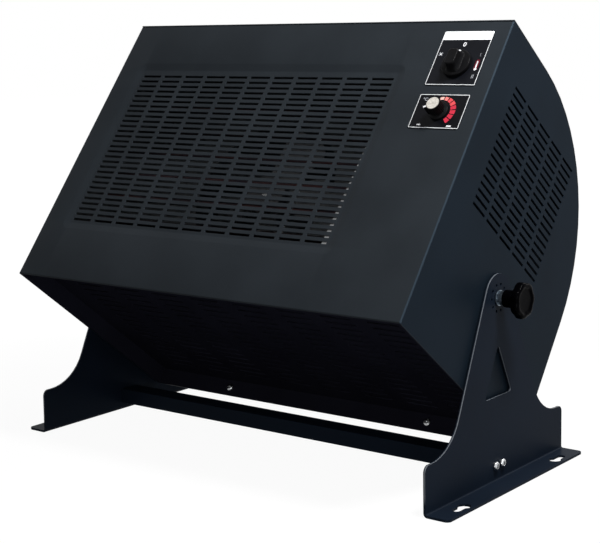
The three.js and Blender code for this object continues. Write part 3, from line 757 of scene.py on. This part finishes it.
def loft(name: str, rings: Sequence[Ring], place: Matrix) -> Object:
    """Joins rings of equally many points in millimetres into one skin, capped at both ends.

    Args:
        name: The piece's name.
        rings: The rings from the first cap to the last.
        place: The frame that they lie in.

    Returns:
        The new piece.
    """
    count = len(rings[0])
    points = [place @ (Vector(p) * MM) for ring in rings for p in ring]
    last = (len(rings) - 1) * count
    faces: list[Sequence[int]] = []
    for a in range(0, last, count):
        for i in range(count):
            j = (i + 1) % count
            faces.append((a + i, a + j, a + count + j, a + count + i))
    faces += [range(count - 1, -1, -1), range(last, last + count)]
    return mesh_piece(name, points, faces)


def slab(name: str, outline: Sequence[Pair], low: float, high: float, place: Matrix) -> Object:
    """Makes a flat piece from its outline and two heights in millimetres."""
    return loft(name, [[(x, y, z) for x, y in outline] for z in (low, high)], place)


def turned(
    name: str,
    profile: Sequence[Pair],
    place: Matrix,
    steps: int,
    outlines: dict[int, Outline] | None = None,
) -> Object:
    """Turns a profile of (radius, height) points in millimetres about Z.

    Args:
        name: The piece's name.
        profile: The points from the first cap to the last.
        place: The frame of the axis.
        steps: How many points each ring has.
        outlines: For some profile points, the radius at each angle instead of a circle.

    Returns:
        The new piece.
    """
    shapes = outlines or {}
    rings = []
    for number, (radius, height) in enumerate(profile):
        rings.append([])
        for i in range(steps):
            angle = TURN * i / steps
            reach = shapes[number](radius, angle) if number in shapes else radius
            rings[-1].append((reach * cos(angle), reach * sin(angle), height))
    return loft(name, rings, place)


def hexagon(radius: float, angle: float) -> float:
    """The reach of a hexagon whose corners lie on a radius."""
    sector = TURN / 6
    return radius * cos(sector / 2) / cos(angle % sector - sector / 2)


def cross(radius: float, angle: float) -> float:
    """The reach of a four-armed star with a radius."""
    return radius * (CROSS_WAIST + (1 - CROSS_WAIST) * abs(cos(2 * angle)) ** 6)


def rounded_ring(width: float, height: float, corner: float, z: float, steps: int = 6) -> Ring:
    """A rectangle with round corners, as a ring about Z in millimetres.

    Args:
        width: The size along X.
        height: The size along Y.
        corner: The corners' radius.
        z: Where the ring lies along Z.
        steps: How many steps a corner has.

    Returns:
        The ring.
    """
    ring = []
    half_x, half_y = width / 2 - corner, height / 2 - corner
    for quarter, (sx, sy) in enumerate(((1, 1), (-1, 1), (-1, -1), (1, -1))):
        for i in range(steps + 1):
            angle = (quarter + i / steps) * TURN / 4
            x = sx * half_x + corner * cos(angle)
            y = sy * half_y + corner * sin(angle)
            ring.append((x, y, z))
    return ring


def shade_smoothly(piece: Object, angle: float) -> None:
    """Shades a piece smoothly, except at edges sharper than an angle in degrees.

    Args:
        piece: The piece.
        angle: The angle from which an edge stays sharp.
    """
    polygons = piece.data.polygons
    polygons.foreach_set("use_smooth", [True] * len(polygons))
    split = piece.modifiers.new("sharp_edges", "EDGE_SPLIT")
    split.split_angle = radians(angle)


def smooth(piece: Object, bevel: float = 0.0, angle: float = 35.0) -> None:
    """Rounds a piece's edges by a width in millimetres and shades its wide faces flat.

    Args:
        piece: The piece.
        bevel: The width of the rounding, or 0 for none.
        angle: The angle in degrees from which an edge stays sharp.
    """
    weld = piece.modifiers.new("weld", "WELD")
    weld.merge_threshold = WELD_REACH
    if bevel:
        rounding = piece.modifiers.new("rounding", "BEVEL")
        rounding.width = bevel * MM
        rounding.segments = 2
        rounding.limit_method = "ANGLE"
        rounding.angle_limit = radians(ROUNDED_FROM)
        rounding.use_clamp_overlap = True
    shade_smoothly(piece, angle)
    flat = piece.modifiers.new("flat_faces", "WEIGHTED_NORMAL")
    flat.weight = FLAT_WEIGHT


def paint(piece: Object, material: Material) -> None:
    """Gives a piece one material."""
    piece.data.materials.clear()
    piece.data.materials.append(material)


def finish_piece(
    piece: Object, material: Material, body: Body, stands_for: Sequence[str] = ()
) -> None:
    """Paints a new piece, puts it on its body and hides the solids that it stands for.

    Args:
        piece: The piece.
        material: Its material.
        body: The body that it rides on.
        stands_for: The solids that it takes the place of.
    """
    paint(piece, material)
    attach(piece, body.value)
    if stands_for:
        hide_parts(*stands_for)
    log.info("%s rides on %s", piece.name, body.value)


def dress(nodes: Nodes, names: Iterable[str], material: Material, bevel: float = 0.0) -> None:
    """Gives solids of the frame a finish, and edges rounded by a width in millimetres.

    Args:
        nodes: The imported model's solids by name.
        names: The solids that are dressed.
        material: Their material.
        bevel: The width of the rounding, or 0 for none.
    """
    for name in names:
        node = nodes[name]
        if "custom_normal" in node.data.attributes:
            node.data.attributes.remove(node.data.attributes["custom_normal"])
        paint(node, material)
        smooth(node, bevel)
        log.info("%s is dressed", name)


# -------- the heater


@dataclass
class FrontPanel:
    """The front sheet with its pressed field of slots; its pairs run across and up the face."""

    size: Pair = (600.0, 403.2)
    thickness: float = 1.5
    fold: float = 1.6
    slot: Pair = (32.5, 3.6)
    slots: tuple[int, int] = (11, 29)
    pitch: Pair = (38.3, 8.24)
    slots_centre: Pair = (-46.2, 204.4)
    field_size: Pair = (443.0, 267.5)
    field_centre: Pair = (-45.0, 206.4)
    field_corner: float = 14.0
    field_border: float = 10.5
    field_depth: float = 3.0
    fold_steps: int = 4
    border_steps: int = 12
    line_gap: float = 0.4
    sharp_angle: float = 40.0

    def _centres(self, axis: int) -> list[float]:
        """The slots' middles along one direction."""
        middle, count = self.slots_centre[axis], self.slots[axis]
        return [middle + (i - (count - 1) / 2) * self.pitch[axis] for i in range(count)]

    def _lines(self, axis: int) -> list[float]:
        """The grid lines across one direction.

        Args:
            axis: 0 for across the face and 1 for up it.

        Returns:
            The lines in order, in millimetres.
        """
        low = -self.size[0] / 2 if axis == 0 else 0.0
        high = low + self.size[axis]
        half = self.slot[axis] / 2
        lines = {low, high}
        for i in range(1, self.fold_steps + 1):
            inset = self.fold * (1 - cos(i / self.fold_steps * TURN / 4))
            lines.update((low + inset, high - inset))
        for centre in self._centres(axis):
            lines.update((centre - half, centre + half))
        for i in range(self.border_steps + 1):
            reach = self.field_size[axis] / 2 - self.field_corner * i / self.border_steps
            for line in (self.field_centre[axis] - reach, self.field_centre[axis] + reach):
                if all(abs(line - other) > self.line_gap for other in lines):
                    lines.add(line)
        return sorted(lines)

    def _over(self, axis: int, place: float) -> float:
        """How far a place along one direction lies past the field's straight stretch."""
        straight = self.field_size[axis] / 2 - self.field_corner
        return abs(place - self.field_centre[axis]) - straight

    def _depth(self, x: float, y: float) -> float:
        """The sheet's height at a point: the pressed field and the folded rim.

        Args:
            x: How far across the face the point is.
            y: How far up the face it is.

        Returns:
            The height in millimetres, 0 or less.
        """
        over_x, over_y = self._over(0, x), self._over(1, y)
        far = hypot(max(over_x, 0), max(over_y, 0))
        inside = self.field_corner - far - min(max(over_x, over_y), 0)
        depth = self.field_depth * min(max(inside / self.field_border, 0), 1)
        rim = min(self.size[0] / 2 - abs(x), y, self.size[1] - y)
        if rim < self.fold:
            drop = self.fold - sqrt(max(self.fold**2 - (self.fold - rim) ** 2, 0))
            depth = max(depth, drop)
        return -depth

    def _open(self, axis: int, lines: list[float]) -> list[bool]:
        """Whether a slot runs between each grid line and the next, along one direction.

        Args:
            axis: 0 for across the face and 1 for up it.
            lines: The grid lines in order.

        Returns:
            An answer for each gap between two lines.
        """
        half, centres = self.slot[axis] / 2, self._centres(axis)
        middles = [(low + high) / 2 for low, high in zip(lines, lines[1:])]
        return [any(abs(middle - centre) < half for centre in centres) for middle in middles]

    def build(self, finishes: Finishes) -> None:
        """Makes the sheet and lets it stand for its solid.

        Args:
            finishes: The heater's finishes.
        """
        xs, ys = self._lines(0), self._lines(1)
        place = FACE.frame()
        points = [place @ (Vector((x, y, self._depth(x, y))) * MM) for y in ys for x in xs]
        faces = []
        for j, row in enumerate(self._open(1, ys)):
            for i, column in enumerate(self._open(0, xs)):
                if not (row and column):
                    a = j * len(xs) + i
                    faces.append((a, a + 1, a + 1 + len(xs), a + len(xs)))
        panel = mesh_piece("front_sheet", points, faces)
        wall = panel.modifiers.new("sheet", "SOLIDIFY")
        wall.thickness = self.thickness * MM
        wall.offset = -1
        wall.material_offset_rim = 1
        shade_smoothly(panel, self.sharp_angle)
        finish_piece(panel, finishes.front, Body.CASING, ["front_panel"])
        # the slot walls and the sheet's edges take the lightened paint, a painted highlight
        panel.data.materials.append(finishes.cut_edge)


@dataclass(frozen=True)
class PanHead:
    """A screw with a domed head and a recess.

    The head and the shank have a radius and a height. The dome's points are shares of the
    head's, from its foot up. The socket's points are a share of the recess's radius, a share of
    its depth, and how far they lie below that.
    """

    recess: Outline
    recess_radius: float
    head: Pair
    shank: Pair
    recess_share: float = 0.55
    dome: Profile = ((1, 0), (1, 0.45), (0.93, 0.75), (0.78, 0.94))
    mouth_share: float = 1.25
    socket: tuple[Point, ...] = ((1.08, 0, 0), (1, 0, 0.15), (0.94, 1, 0), (0.2, 1, 0.25))
    steps: int = 48
    sharp_angle: float = 38.0

    def build(self, name: str, place: Matrix, body: Body, solid: str, finishes: Finishes) -> None:
        """Makes the screw with its seat at the frame's origin and its head towards +Z.

        Args:
            name: The piece's name.
            place: The seat's frame.
            body: The body that it rides on.
            solid: The solid that it stands for.
            finishes: The heater's finishes.
        """
        shank, reach = self.shank
        radius, top = self.head
        rim, depth = self.recess_radius, top * self.recess_share
        profile = [(shank, -reach), (shank, 0.0)]
        profile += [(radius * out, top * up) for out, up in self.dome]
        profile.append((rim * self.mouth_share, top))
        socket = [(rim * out, top - depth * down - below) for out, down, below in self.socket]
        outlines = {len(profile) + i: self.recess for i in range(len(socket))}
        screw = turned(name, profile + socket, place, self.steps, outlines)
        smooth(screw, angle=self.sharp_angle)
        finish_piece(screw, finishes.plating, body, [solid])


@dataclass
class Casing:
    """The shell of sheet round the heater and the two screws through its tray's rear wall."""

    edge: float = 0.35
    screw_place: Point = (165.0, 11.5, -325.4)

    def build(self, nodes: Nodes, finishes: Finishes) -> None:
        """Makes the front sheet and the screws, and dresses the rest.

        Args:
            nodes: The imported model's solids by name.
            finishes: The heater's finishes.
        """
        FrontPanel().build(finishes)
        dress(nodes, ["right_side_panel", "left_side_panel"], finishes.sides)
        dress(nodes, ["wrap_cover"], finishes.casing)
        dress(nodes, ["lower_grille"], finishes.tray)
        dress(nodes, ["cable_gland"], finishes.gland, self.edge)
        screw = PanHead(cross, 2.3, head=(5.0, 3.0), shank=(2.4, 4.8))
        x, up, out = self.screw_place
        for side in Side:
            name = f"{side.word}_grille_screw"
            place = FACE.frame(side.value * x, up, out)
            screw.build(f"{name}_head", place, Body.CASING, name, finishes)


@dataclass
class Stand:
    """The two foot brackets, the tube between them and its bolts."""

    bracket_face: float = 305.5
    seat_gap: float = 0.3
    tube_height: float = 21.0
    bolt_pitch: float = 15.5
    edge: float = 0.45

    def build(self, nodes: Nodes, finishes: Finishes) -> None:
        """Dresses the stand and makes its bolts.

        Args:
            nodes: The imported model's solids by name.
            finishes: The heater's finishes.
        """
        sheets = ["right_bracket", "left_bracket", "cross_tube"]
        dress(nodes, sheets, finishes.stand, self.edge)
        bolt = PanHead(hexagon, 2.6, head=(5.3, 3.6), shank=(3.0, 15.0))
        for side in Side:
            for end, step in (("a", -0.5), ("b", 0.5)):
                name = f"{side.word}_tube_bolt_{end}"
                y = PIVOT_Y + side.value * step * self.bolt_pitch
                place = side.outward(self.bracket_face + self.seat_gap, y, self.tube_height)
                bolt.build(f"{name}_screw", place, Body.STAND, name, finishes)


@dataclass
class PivotClamp:
    """A star knob with its stud, washer and nut on one side.

    The stem's points are radii and heights. The star's points lie so far in from its rim: the
    shoulder's so far up from its foot, the crown's so far down from its top. The dish floor's
    points are radii and depths.
    """

    side: Side
    knob_face: float = 314.6
    stem: Profile = ((4.4, 0), (9.9, 0), (10.5, 0.6), (10.6, 15), (11.2, 16.1), (12.5, 16.6))
    star_radius: float = 21.8
    thickness: float = 11.0
    lobes: int = 7
    valley: float = 1.7
    steps: int = 112
    shoulder: Profile = ((3, 0.2), (1.2, 0.7), (0.3, 1.7), (0, 3.2))
    crown: Profile = (
        (0, 3.4), (0.3, 1.9), (1.1, 0.8), (2.6, 0.1), (4.4, 0), (6, 0.3), (7.2, 1.4)
    )
    dish_floor: Profile = ((12.8, 1.9), (2, 1.6))

    def _lobed(self, radius: float, angle: float) -> float:
        """The reach of the star's rim at an angle."""
        wave = 0.5 - 0.5 * cos(self.lobes * (angle - TURN / 4))
        return radius - self.valley * wave**1.5 * (radius / self.star_radius) ** 2

    def _knob(self) -> Object:
        """Makes the stem and the star, which is lobed but for its dish's floor.

        Returns:
            The new piece.
        """
        rim, low = self.star_radius, self.stem[-1][1]
        high = low + self.thickness
        star = [(rim - inset, low + rise) for inset, rise in self.shoulder]
        star += [(rim - inset, high - drop) for inset, drop in self.crown]
        floor = [(radius, high - drop) for radius, drop in self.dish_floor]
        profile = [*self.stem, *star, *floor]
        lobed = {len(self.stem) + i: self._lobed for i in range(len(star))}
        place = self.side.outward(self.knob_face, PIVOT_Y, PIVOT_Z)
        return turned(f"{self.side.word}_star_knob", profile, place, self.steps, lobed)

    def build(self, nodes: Nodes, finishes: Finishes) -> None:
        """Makes the knob and dresses the fasteners.

        Args:
            nodes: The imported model's solids by name.
            finishes: The heater's finishes.
        """
        word = self.side.word
        body = Body[f"{self.side.name}_CLAMP"]
        knob = self._knob()
        smooth(knob, angle=KNOB_ANGLE)
        finish_piece(knob, finishes.grip, body, [f"{word}_clamp_knob"])
        dress(nodes, [f"{word}_clamp_stud", f"{word}_pivot_boss"], finishes.plating)
        dress(nodes, [f"{word}_pivot_washer"], finishes.passivated, 0.25)
        dress(nodes, [f"{word}_pivot_nut"], finishes.passivated, 0.5)
        dress(nodes, [f"{word}_pivot_spacer"], finishes.knob, 0.3)


def print_shape(name: str, outline: Sequence[Pair], ink: Material, lift: int = 0) -> None:
    """Prints a flat outline in face millimetres over so many films of ink."""
    mark = slab(name, outline, 0.0, FILM, FACE.frame(0, 0, PLATE_TOP + lift * FILM))
    finish_piece(mark, ink, Body.CASING)


def print_words(
    name: str, text: str, centre: Pair, size: float, ink: Material, bold: float = 0.0
) -> None:
    """Prints plain letters or figures on a label plate.

    Args:
        name: The piece's name.
        text: What is printed.
        centre: Its middle on the face, in millimetres.
        size: The letters' size in millimetres.
        ink: The ink.
        bold: How far the strokes are widened on each side, in millimetres.
    """
    curve = bpy.data.curves.new(f"{name}_letters", "FONT")
    curve.body = text
    curve.size = size * MM
    curve.offset = bold * MM
    curve.extrude = FILM / 2 * MM
    curve.align_x = curve.align_y = "CENTER"
    curve.resolution_u = 4
    letters = new_object(f"{name}_letters", curve)
    bpy.context.view_layer.update()
    mesh = bpy.data.meshes.new_from_object(letters)
    bpy.data.objects.remove(letters)
    mesh.transform(FACE.frame(*centre, PLATE_TOP + FILM / 2))
    finish_piece(new_object(name, mesh), ink, Body.CASING)


def arc_patch(centre: Pair, inner: float, outer: float, start: float, end: float) -> list[Pair]:
    """A ring segment's outline, its angles in degrees.

    Args:
        centre: The ring's centre on the face, in millimetres.
        inner: Its inner radius.
        outer: Its outer radius.
        start: Where the segment starts.
        end: Where the segment ends.

    Returns:
        The outline's points.
    """
    steps = 5
    angles = [radians(start + (end - start) * i / steps) for i in range(steps + 1)]
    x, y = centre
    out = [(x + outer * cos(a), y + outer * sin(a)) for a in angles]
    back = [(x + inner * cos(a), y + inner * sin(a)) for a in angles]
    return out + back[::-1]


def dot_patch(centre: Pair, radius: float) -> list[Pair]:
    """A dot's outline, a ring segment that is nearly closed."""
    return arc_patch(centre, 0.05, radius, 0, 359)


@dataclass
class ControlPanel:
    """The two label plates, their marks and their knobs."""

    axis_x: float = 246.0
    selector_up: float = 339.0
    thermostat_up: float = 272.0
    fan_mark: Pair = (217.7, 354.2)
    fan_blades: int = 4
    blade_reach: Pair = (0.9, 3.1)
    blade_start: float = 20.0
    blade_angle: float = 48.0
    scale_radius: float = 18.3
    scale_half: Pair = (1.9, 3.5)
    scale_start: float = 104.0
    scale_end: float = -52.0
    scale_filled: float = 0.8
    scale_reds: tuple[int, ...] = (0, 1, 2, 2, 3, 3, 3, 3)

    def build(self, nodes: Nodes, finishes: Finishes) -> None:
        """Dresses the plates and makes marks and knobs.

        Args:
            nodes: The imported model's solids by name.
            finishes: The heater's finishes.
        """
        upper = PrintedPlate("selector_plate_print", 79, (self.axis_x, 348.8), band=13.0)
        lower = PrintedPlate(
            "thermostat_plate_print", 48, (self.axis_x, 272.2), ground=rgb(0.0028, 0.003, 0.004)
        )
        dress(nodes, ["selector_plate"], upper.make())
        dress(nodes, ["thermostat_plate"], lower.make())
        self._selector_marks(finishes)
        self._thermostat_marks(finishes)
        SelectorKnob((self.axis_x, self.selector_up)).build(finishes)
        ThermostatKnob((self.axis_x, self.thermostat_up)).build(nodes, finishes)

    def _selector_marks(self, finishes: Finishes) -> None:
        """Prints the switch positions: off, one, two, a fan and a thermometer that glows.

        Args:
            finishes: The heater's finishes.
        """
        white, grey = finishes.white_ink, finishes.grey_ink
        print_words("mark_off", "0", (245.9, 368.2), 8.8, white, bold=0.05)
        print_words("mark_one", "I", (272.9, 353.0), 6.8, grey)
        print_words("mark_two", "II", (272.9, 321.7), 7.2, grey, bold=0.15)
        for i in range(self.fan_blades):
            turn = 360 / self.fan_blades * i + self.blade_start
            blade = arc_patch(self.fan_mark, *self.blade_reach, turn, turn + self.blade_angle)
            print_shape(f"mark_fan_blade_{i}", blade, grey)
        print_shape("mark_fan_hub", dot_patch(self.fan_mark, 1.3), white)
        glow_side = [(270.0, 332.0), (275.4, 332.0), (275.4, 344.5)]
        glow_head = [(273.9, 346.4), (271.4, 346.4), (270.0, 344.5)]
        print_shape("mark_heat_glow", glow_side + glow_head, finishes.reds[-1])
        tube = [(271.7, 333.0), (273.5, 333.0), (273.3, 344.0), (271.9, 344.0)]
        print_shape("mark_heat_tube", tube, white, lift=1)
        print_shape("mark_heat_bulb", dot_patch((272.6, 332.6), 2.1), white, lift=1)

    def _thermostat_marks(self, finishes: Finishes) -> None:
        """Prints the temperature scale, which widens to its middle and reddens to its end.

        Args:
            finishes: The heater's finishes.
        """
        white, grey = finishes.white_ink, finishes.grey_ink
        print_words("mark_degrees", "°C", (221.4, 288.4), 6.2, grey, bold=0.2)
        print_words("mark_min", "min", (225.4, 252.9), 3.5, white, bold=0.22)
        print_words("mark_max", "max", (266.4, 252.1), 3.5, white, bold=0.22)
        centre = (self.axis_x, self.thermostat_up)
        count = len(self.scale_reds)
        pitch = (self.scale_end - self.scale_start) / count
        narrow, wide = self.scale_half
        for i, red in enumerate(self.scale_reds):
            half = narrow + (wide - narrow) * min(2 * i / (count - 1), 1)
            inner, outer = self.scale_radius - half, self.scale_radius + half
            begin = self.scale_start + i * pitch
            patch = arc_patch(centre, inner, outer, begin + pitch * self.scale_filled, begin)
            print_shape(f"mark_scale_{i}", patch, finishes.reds[red])


@dataclass
class SelectorKnob:
    """The selector's round skirt, its waisted grip and a white tick.

    The skirt's points are radii and heights. Each section of the grip has its width, length,
    corner radius and height.
    """

    centre: Pair
    low_skirt: Profile = ((3, -14), (3, 0.3), (18.6, 0.3), (19, 0.7))
    high_skirt: Profile = ((19, 3.9), (18.6, 4.9), (17.6, 5.4), (14, 5.8), (3, 6.1))
    grip: tuple[tuple[float, float, float, float], ...] = (
        (21.0, 30.4, 6.0, 4.9), (18.2, 29.2, 5.6, 6.1), (15.4, 27.8, 5.2, 7.6),
        (13.6, 26.2, 4.9, 9.8), (13.0, 24.4, 4.7, 12.6), (13.4, 23.2, 4.6, 15.6),
        (13.2, 22.4, 4.5, 17.0), (12.0, 21.0, 3.9, 17.8), (9.8, 18.8, 3.0, 18.0),
    )
    tick_size: Pair = (3.8, 1.5)
    tick_corner: float = 0.3
    tick_heights: Pair = (5.2, 5.75)
    tick_out: float = 16.7

    def build(self, finishes: Finishes) -> None:
        """Makes the skirt, the grip and the tick.

        Args:
            finishes: The heater's finishes.
        """
        place = FACE.frame(*self.centre, PLATE_TOP)
        skirt = turned("selector_skirt", self.low_skirt + self.high_skirt, place, steps=96)
        smooth(skirt, angle=KNOB_ANGLE)
        finish_piece(skirt, finishes.knob, Body.SELECTOR, ["selector_knob"])
        grip = loft("selector_grip", [rounded_ring(*section) for section in self.grip], place)
        smooth(grip, angle=KNOB_ANGLE)
        finish_piece(grip, finishes.knob, Body.SELECTOR)
        heights = self.tick_heights
        rings = [rounded_ring(*self.tick_size, self.tick_corner, z, steps=2) for z in heights]
        outwards = Matrix.Translation((0, self.tick_out * MM, 0))
        tick = loft("selector_tick", rings, place @ outwards)
        finish_piece(tick, finishes.white_ink, Body.SELECTOR)


@dataclass
class ThermostatKnob:
    """The thermostat's fluted knob, its pointer and its bright cap.

    The points of its collar, body and head are radii and heights. Each section of the pointer
    has its reach and half its width.
    """

    centre: Pair
    collar: Profile = (
        (3, -10), (3, 0.3), (12.4, 0.3), (12.8, 0.7), (12.7, 2), (12, 2.9), (10.2, 3.3)
    )
    body: Profile = ((9.5, 4), (9.4, 15.6))
    head: Profile = ((9, 16.7), (8.7, 17), (8.5, 17), (8.5, 15.6), (2, 15.6))
    flutes: int = 24
    flute_depth: float = 0.35
    pointer: Profile = ((8.9, 0.95), (11.4, 0.8), (12.4, 0.6))
    pointer_turn: float = 209.0

    def _fluted(self, radius: float, angle: float) -> float:
        """The reach of the fluted body at an angle."""
        return radius - self.flute_depth * (1 - cos(self.flutes * angle))

    def build(self, nodes: Nodes, finishes: Finishes) -> None:
        """Makes the knob and its pointer, and dresses the cap.

        Args:
            nodes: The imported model's solids by name.
            finishes: The heater's finishes.
        """
        place = FACE.frame(*self.centre, PLATE_TOP)
        profile = self.collar + self.body + self.head
        fluted = {len(self.collar) + i: self._fluted for i in range(len(self.body))}
        knob = turned("thermostat_grip", profile, place, 6 * self.flutes, fluted)
        smooth(knob, angle=KNOB_ANGLE)
        finish_piece(knob, finishes.knob, Body.THERMOSTAT, ["thermostat_knob"])
        turn = place @ Matrix.Rotation(radians(self.pointer_turn), 4, "Z")
        for part, low, high, widen, material, slot in (
            ("pointer", 3.0, 16.2, 0.0, finishes.knob, "black_plastic"),
            ("pointer_tip", 16.1, 17.0, 0.06, finishes.white_ink, "plate_print"),
        ):
            rings = []
            for reach, half in self.pointer:
                x, y = reach + widen, half + widen
                rings.append([(x, -y, low), (x, y, low), (x, y, high), (x, -y, high)])
            fin = loft(f"thermostat_{part}", rings, turn)
            finish_piece(fin, material, Body.THERMOSTAT)
        middle = tuple(FACE.frame(*self.centre).translation)
        disc = SpunDisc("spun_cap", rgb(0.6, 0.57, 0.52), middle).make()
        dress(nodes, ["thermostat_knob_cap"], disc, 0.3)


@dataclass
class HeaterCore:
    """What shows through the slots: rods, box, fan, motor and fittings."""

    box_low: float = 84.5
    box_high: float = 325.0
    box_right: float = 166.6
    lip_foot: float = 152.8
    lip_bend: Pair = (159.4, 225.0)
    lip_top: float = 161.0
    guards: Pair = (49.0, 88.3)
    guard_width: float = 5.0
    strip_depth: float = -5.2
    strip_sheet: float = 1.0

    def _strip(self, name: str, outline: Sequence[Pair], finishes: Finishes) -> None:
        """Makes a flat strip of bare sheet behind the slots, from its corners on the face.

        Args:
            name: The strip's name.
            outline: Its corners in millimetres.
            finishes: The heater's finishes.
        """
        place = FACE.frame(0, 0, self.strip_depth)
        strip = slab(name, outline, -self.strip_sheet, 0.0, place)
        smooth(strip, bevel=0.2)
        finish_piece(strip, finishes.bare_sheet, Body.CASING)

    def _strips(self, finishes: Finishes) -> None:
        """Makes the box's folded lip and the two upright guard strips.

        Args:
            finishes: The heater's finishes.
        """
        low, high, right = self.box_low, self.box_high, self.box_right
        lip = [(self.lip_foot, low), (right, low), (right, high), (self.lip_top, high)]
        self._strip("box_lip", [*lip, self.lip_bend], finishes)
        for i, middle in enumerate(self.guards):
            left, right = middle - self.guard_width / 2, middle + self.guard_width / 2
            strip = [(left, low), (right, low), (right, high), (left, high)]
            self._strip(f"guard_strip_{i + 1}", strip, finishes)

    def build(self, nodes: Nodes, finishes: Finishes) -> None:
        """Dresses the inner pieces and makes the strips.

        Args:
            nodes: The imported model's solids by name.
            finishes: The heater's finishes.
        """
        self._strips(finishes)
        rods = [name for name in nodes if name.startswith("heating_element")]
        # the rods, box, shroud, motor bracket, motor and fan take the darkened metals, which carry
        # painted shade
        dress(nodes, rods, finishes.rod)
        dress(nodes, ["heater_box", "fan_shroud", "motor_bracket"], finishes.sheet)
        dress(nodes, ["fan_motor"], finishes.motor, 1.2)
        dress(nodes, ["motor_shaft"], finishes.plating)
        dress(nodes, ["fan_impeller"], finishes.fan)
        fittings = ["selector_switch", "thermostat_housing", "thermal_cutout", "terminal_block"]
        dress(nodes, fittings, finishes.switch, 0.6)


# -------- studio


@dataclass(frozen=True)
class Lamp:
    """A soft square lamp that points at a place."""

    name: str
    place: Point
    target: Point
    size: float
    power: float
    colour: tuple[float, float, float] = (1.0, 1.0, 1.0)

    def build(self) -> None:
        """Makes the lamp."""
        data = bpy.data.lights.new(self.name, "AREA")
        data.size = self.size
        data.energy = self.power
        data.color = self.colour
        lamp = new_object(self.name, data)
        lamp.location = self.place
        aim = Vector(self.target) - Vector(self.place)
        lamp.rotation_mode = "QUATERNION"
        lamp.rotation_quaternion = aim.to_track_quat("-Z", "Y")


@dataclass
class Studio:
    """Camera, pale floor and soft light."""

    eye: Point = (1.14598, -1.48183, 0.5359)
    right: Point = (0.79820353, 0.60224691, -0.01302991)
    up: Point = (-0.05782595, 0.0981358, 0.99349158)
    lens: float = 87.27
    shift: Pair = (-0.01725, -0.1246)
    floor_size: float = 16.0
    floor_drop: float = 0.0004
    floor_glow: float = 1.02
    floor_white: float = 0.93
    shadow_reach: Pair = (400.0, 1200.0)
    ambient: float = 0.12
    lamps: tuple[Lamp, ...] = (
        Lamp("key_lamp", (0.82, -0.22, 1.5), (0, 0, 0.3), 0.3, 30),
        Lamp("sheen_lamp", (-0.45, -0.45, 1.4), (0, 0, 0.3), 0.4, 0.4),
        Lamp("side_lamp", (2.2, -0.6, 0.3), (0, 0, 0.2), 0.8, 6.5, (0.85, 0.93, 1.0)),
        Lamp("front_lamp", (0.8, -1.5, 0.3), (0, 0, 0.2), 0.2, 4.6),
        Lamp("glint_lamp", (1.7, -1.05, 1.0), (0.1, 0, 0.2), 0.1, 2.5),
        Lamp("rear_lamp", (0.4, 1.8, 1.6), (0, 0, 0.25), 1.2, 20),
        Lamp("left_lamp", (-2.2, 0.35, 0.6), (0, 0, 0.2), 0.8, 7),
    )

    def build(self) -> None:
        """Sets the stage."""
        self._camera()
        self._floor()
        self._world()
        for lamp in self.lamps:
            lamp.build()
        bpy.context.scene.view_settings.view_transform = "Standard"

    def _camera(self) -> None:
        """Makes the camera."""
        data = bpy.data.cameras.new("camera")
        data.sensor_width = 36.0
        data.lens = self.lens
        data.shift_x, data.shift_y = self.shift
        camera = new_object("camera", data)
        right, up = Vector(self.right), Vector(self.up)
        turn = Matrix((right, up, right.cross(up))).transposed().to_4x4()
        camera.matrix_world = Matrix.Translation(Vector(self.eye)) @ turn
        bpy.context.scene.camera = camera

    def _floor(self) -> None:
        """Makes the floor: white to the eye, with a little of the heater's shadow near it."""
        half, drop = self.floor_size / 2, -self.floor_drop
        ends = ((-half, -half), (half, -half), (half, half), (-half, half))
        corners = [(x, y, drop) for x, y in ends]
        floor = mesh_piece("floor", corners, [(0, 1, 2, 3)])
        shader = Shader("studio_floor")
        speck = shader.noise(0.15, 2.0)
        pale = shader.mix(speck, rgb(0.8, 0.8, 0.8), rgb(0.84, 0.84, 0.84))
        seen = shader.seen()
        colour = shader.mix(seen, rgb(0.16, 0.165, 0.175), pale)
        matt = shader.node("ShaderNodeBsdfDiffuse", {}, {"Color": colour})
        light = {"Color": rgb(1, 1, 1), "Strength": self.floor_glow}
        glow = shader.node("ShaderNodeEmission", {}, light)
        far = shader.away(CENTRE, ACROSS, BACK).step(*self.shadow_reach)
        share = seen * (self.floor_white + (1 - self.floor_white) * far)
        looks = {0: share, 1: matt.outputs[0], 2: glow.outputs[0]}
        mixed = shader.node("ShaderNodeMixShader", {}, looks)
        paint(floor, shader.end(mixed.outputs[0]))

    def _world(self) -> None:
        """Makes the surroundings: white to the eye, pale grey to the heater."""
        world = bpy.data.worlds.new("studio")
        world.use_nodes = True
        tree = NodeTree(world.node_tree)
        strength = tree.seen() * (1 - self.ambient) + self.ambient
        light = {"Color": rgb(1, 1, 1), "Strength": strength}
        background = tree.node("ShaderNodeBackground", {}, light)
        tree.node("ShaderNodeOutputWorld", {}, {"Surface": background.outputs[0]})
        bpy.context.scene.world = world


def main() -> None:
    """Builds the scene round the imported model."""
    logging.basicConfig(level=logging.INFO, format="%(name)s: %(message)s")
    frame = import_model()
    nodes: Nodes = frame["nodes"]
    finishes = Finishes()
    Casing().build(nodes, finishes)
    Stand().build(nodes, finishes)
    for side in Side:
        PivotClamp(side).build(nodes, finishes)
    ControlPanel().build(nodes, finishes)
    HeaterCore().build(nodes, finishes)
    Studio().build()


if __name__ == "__main__":
    main()
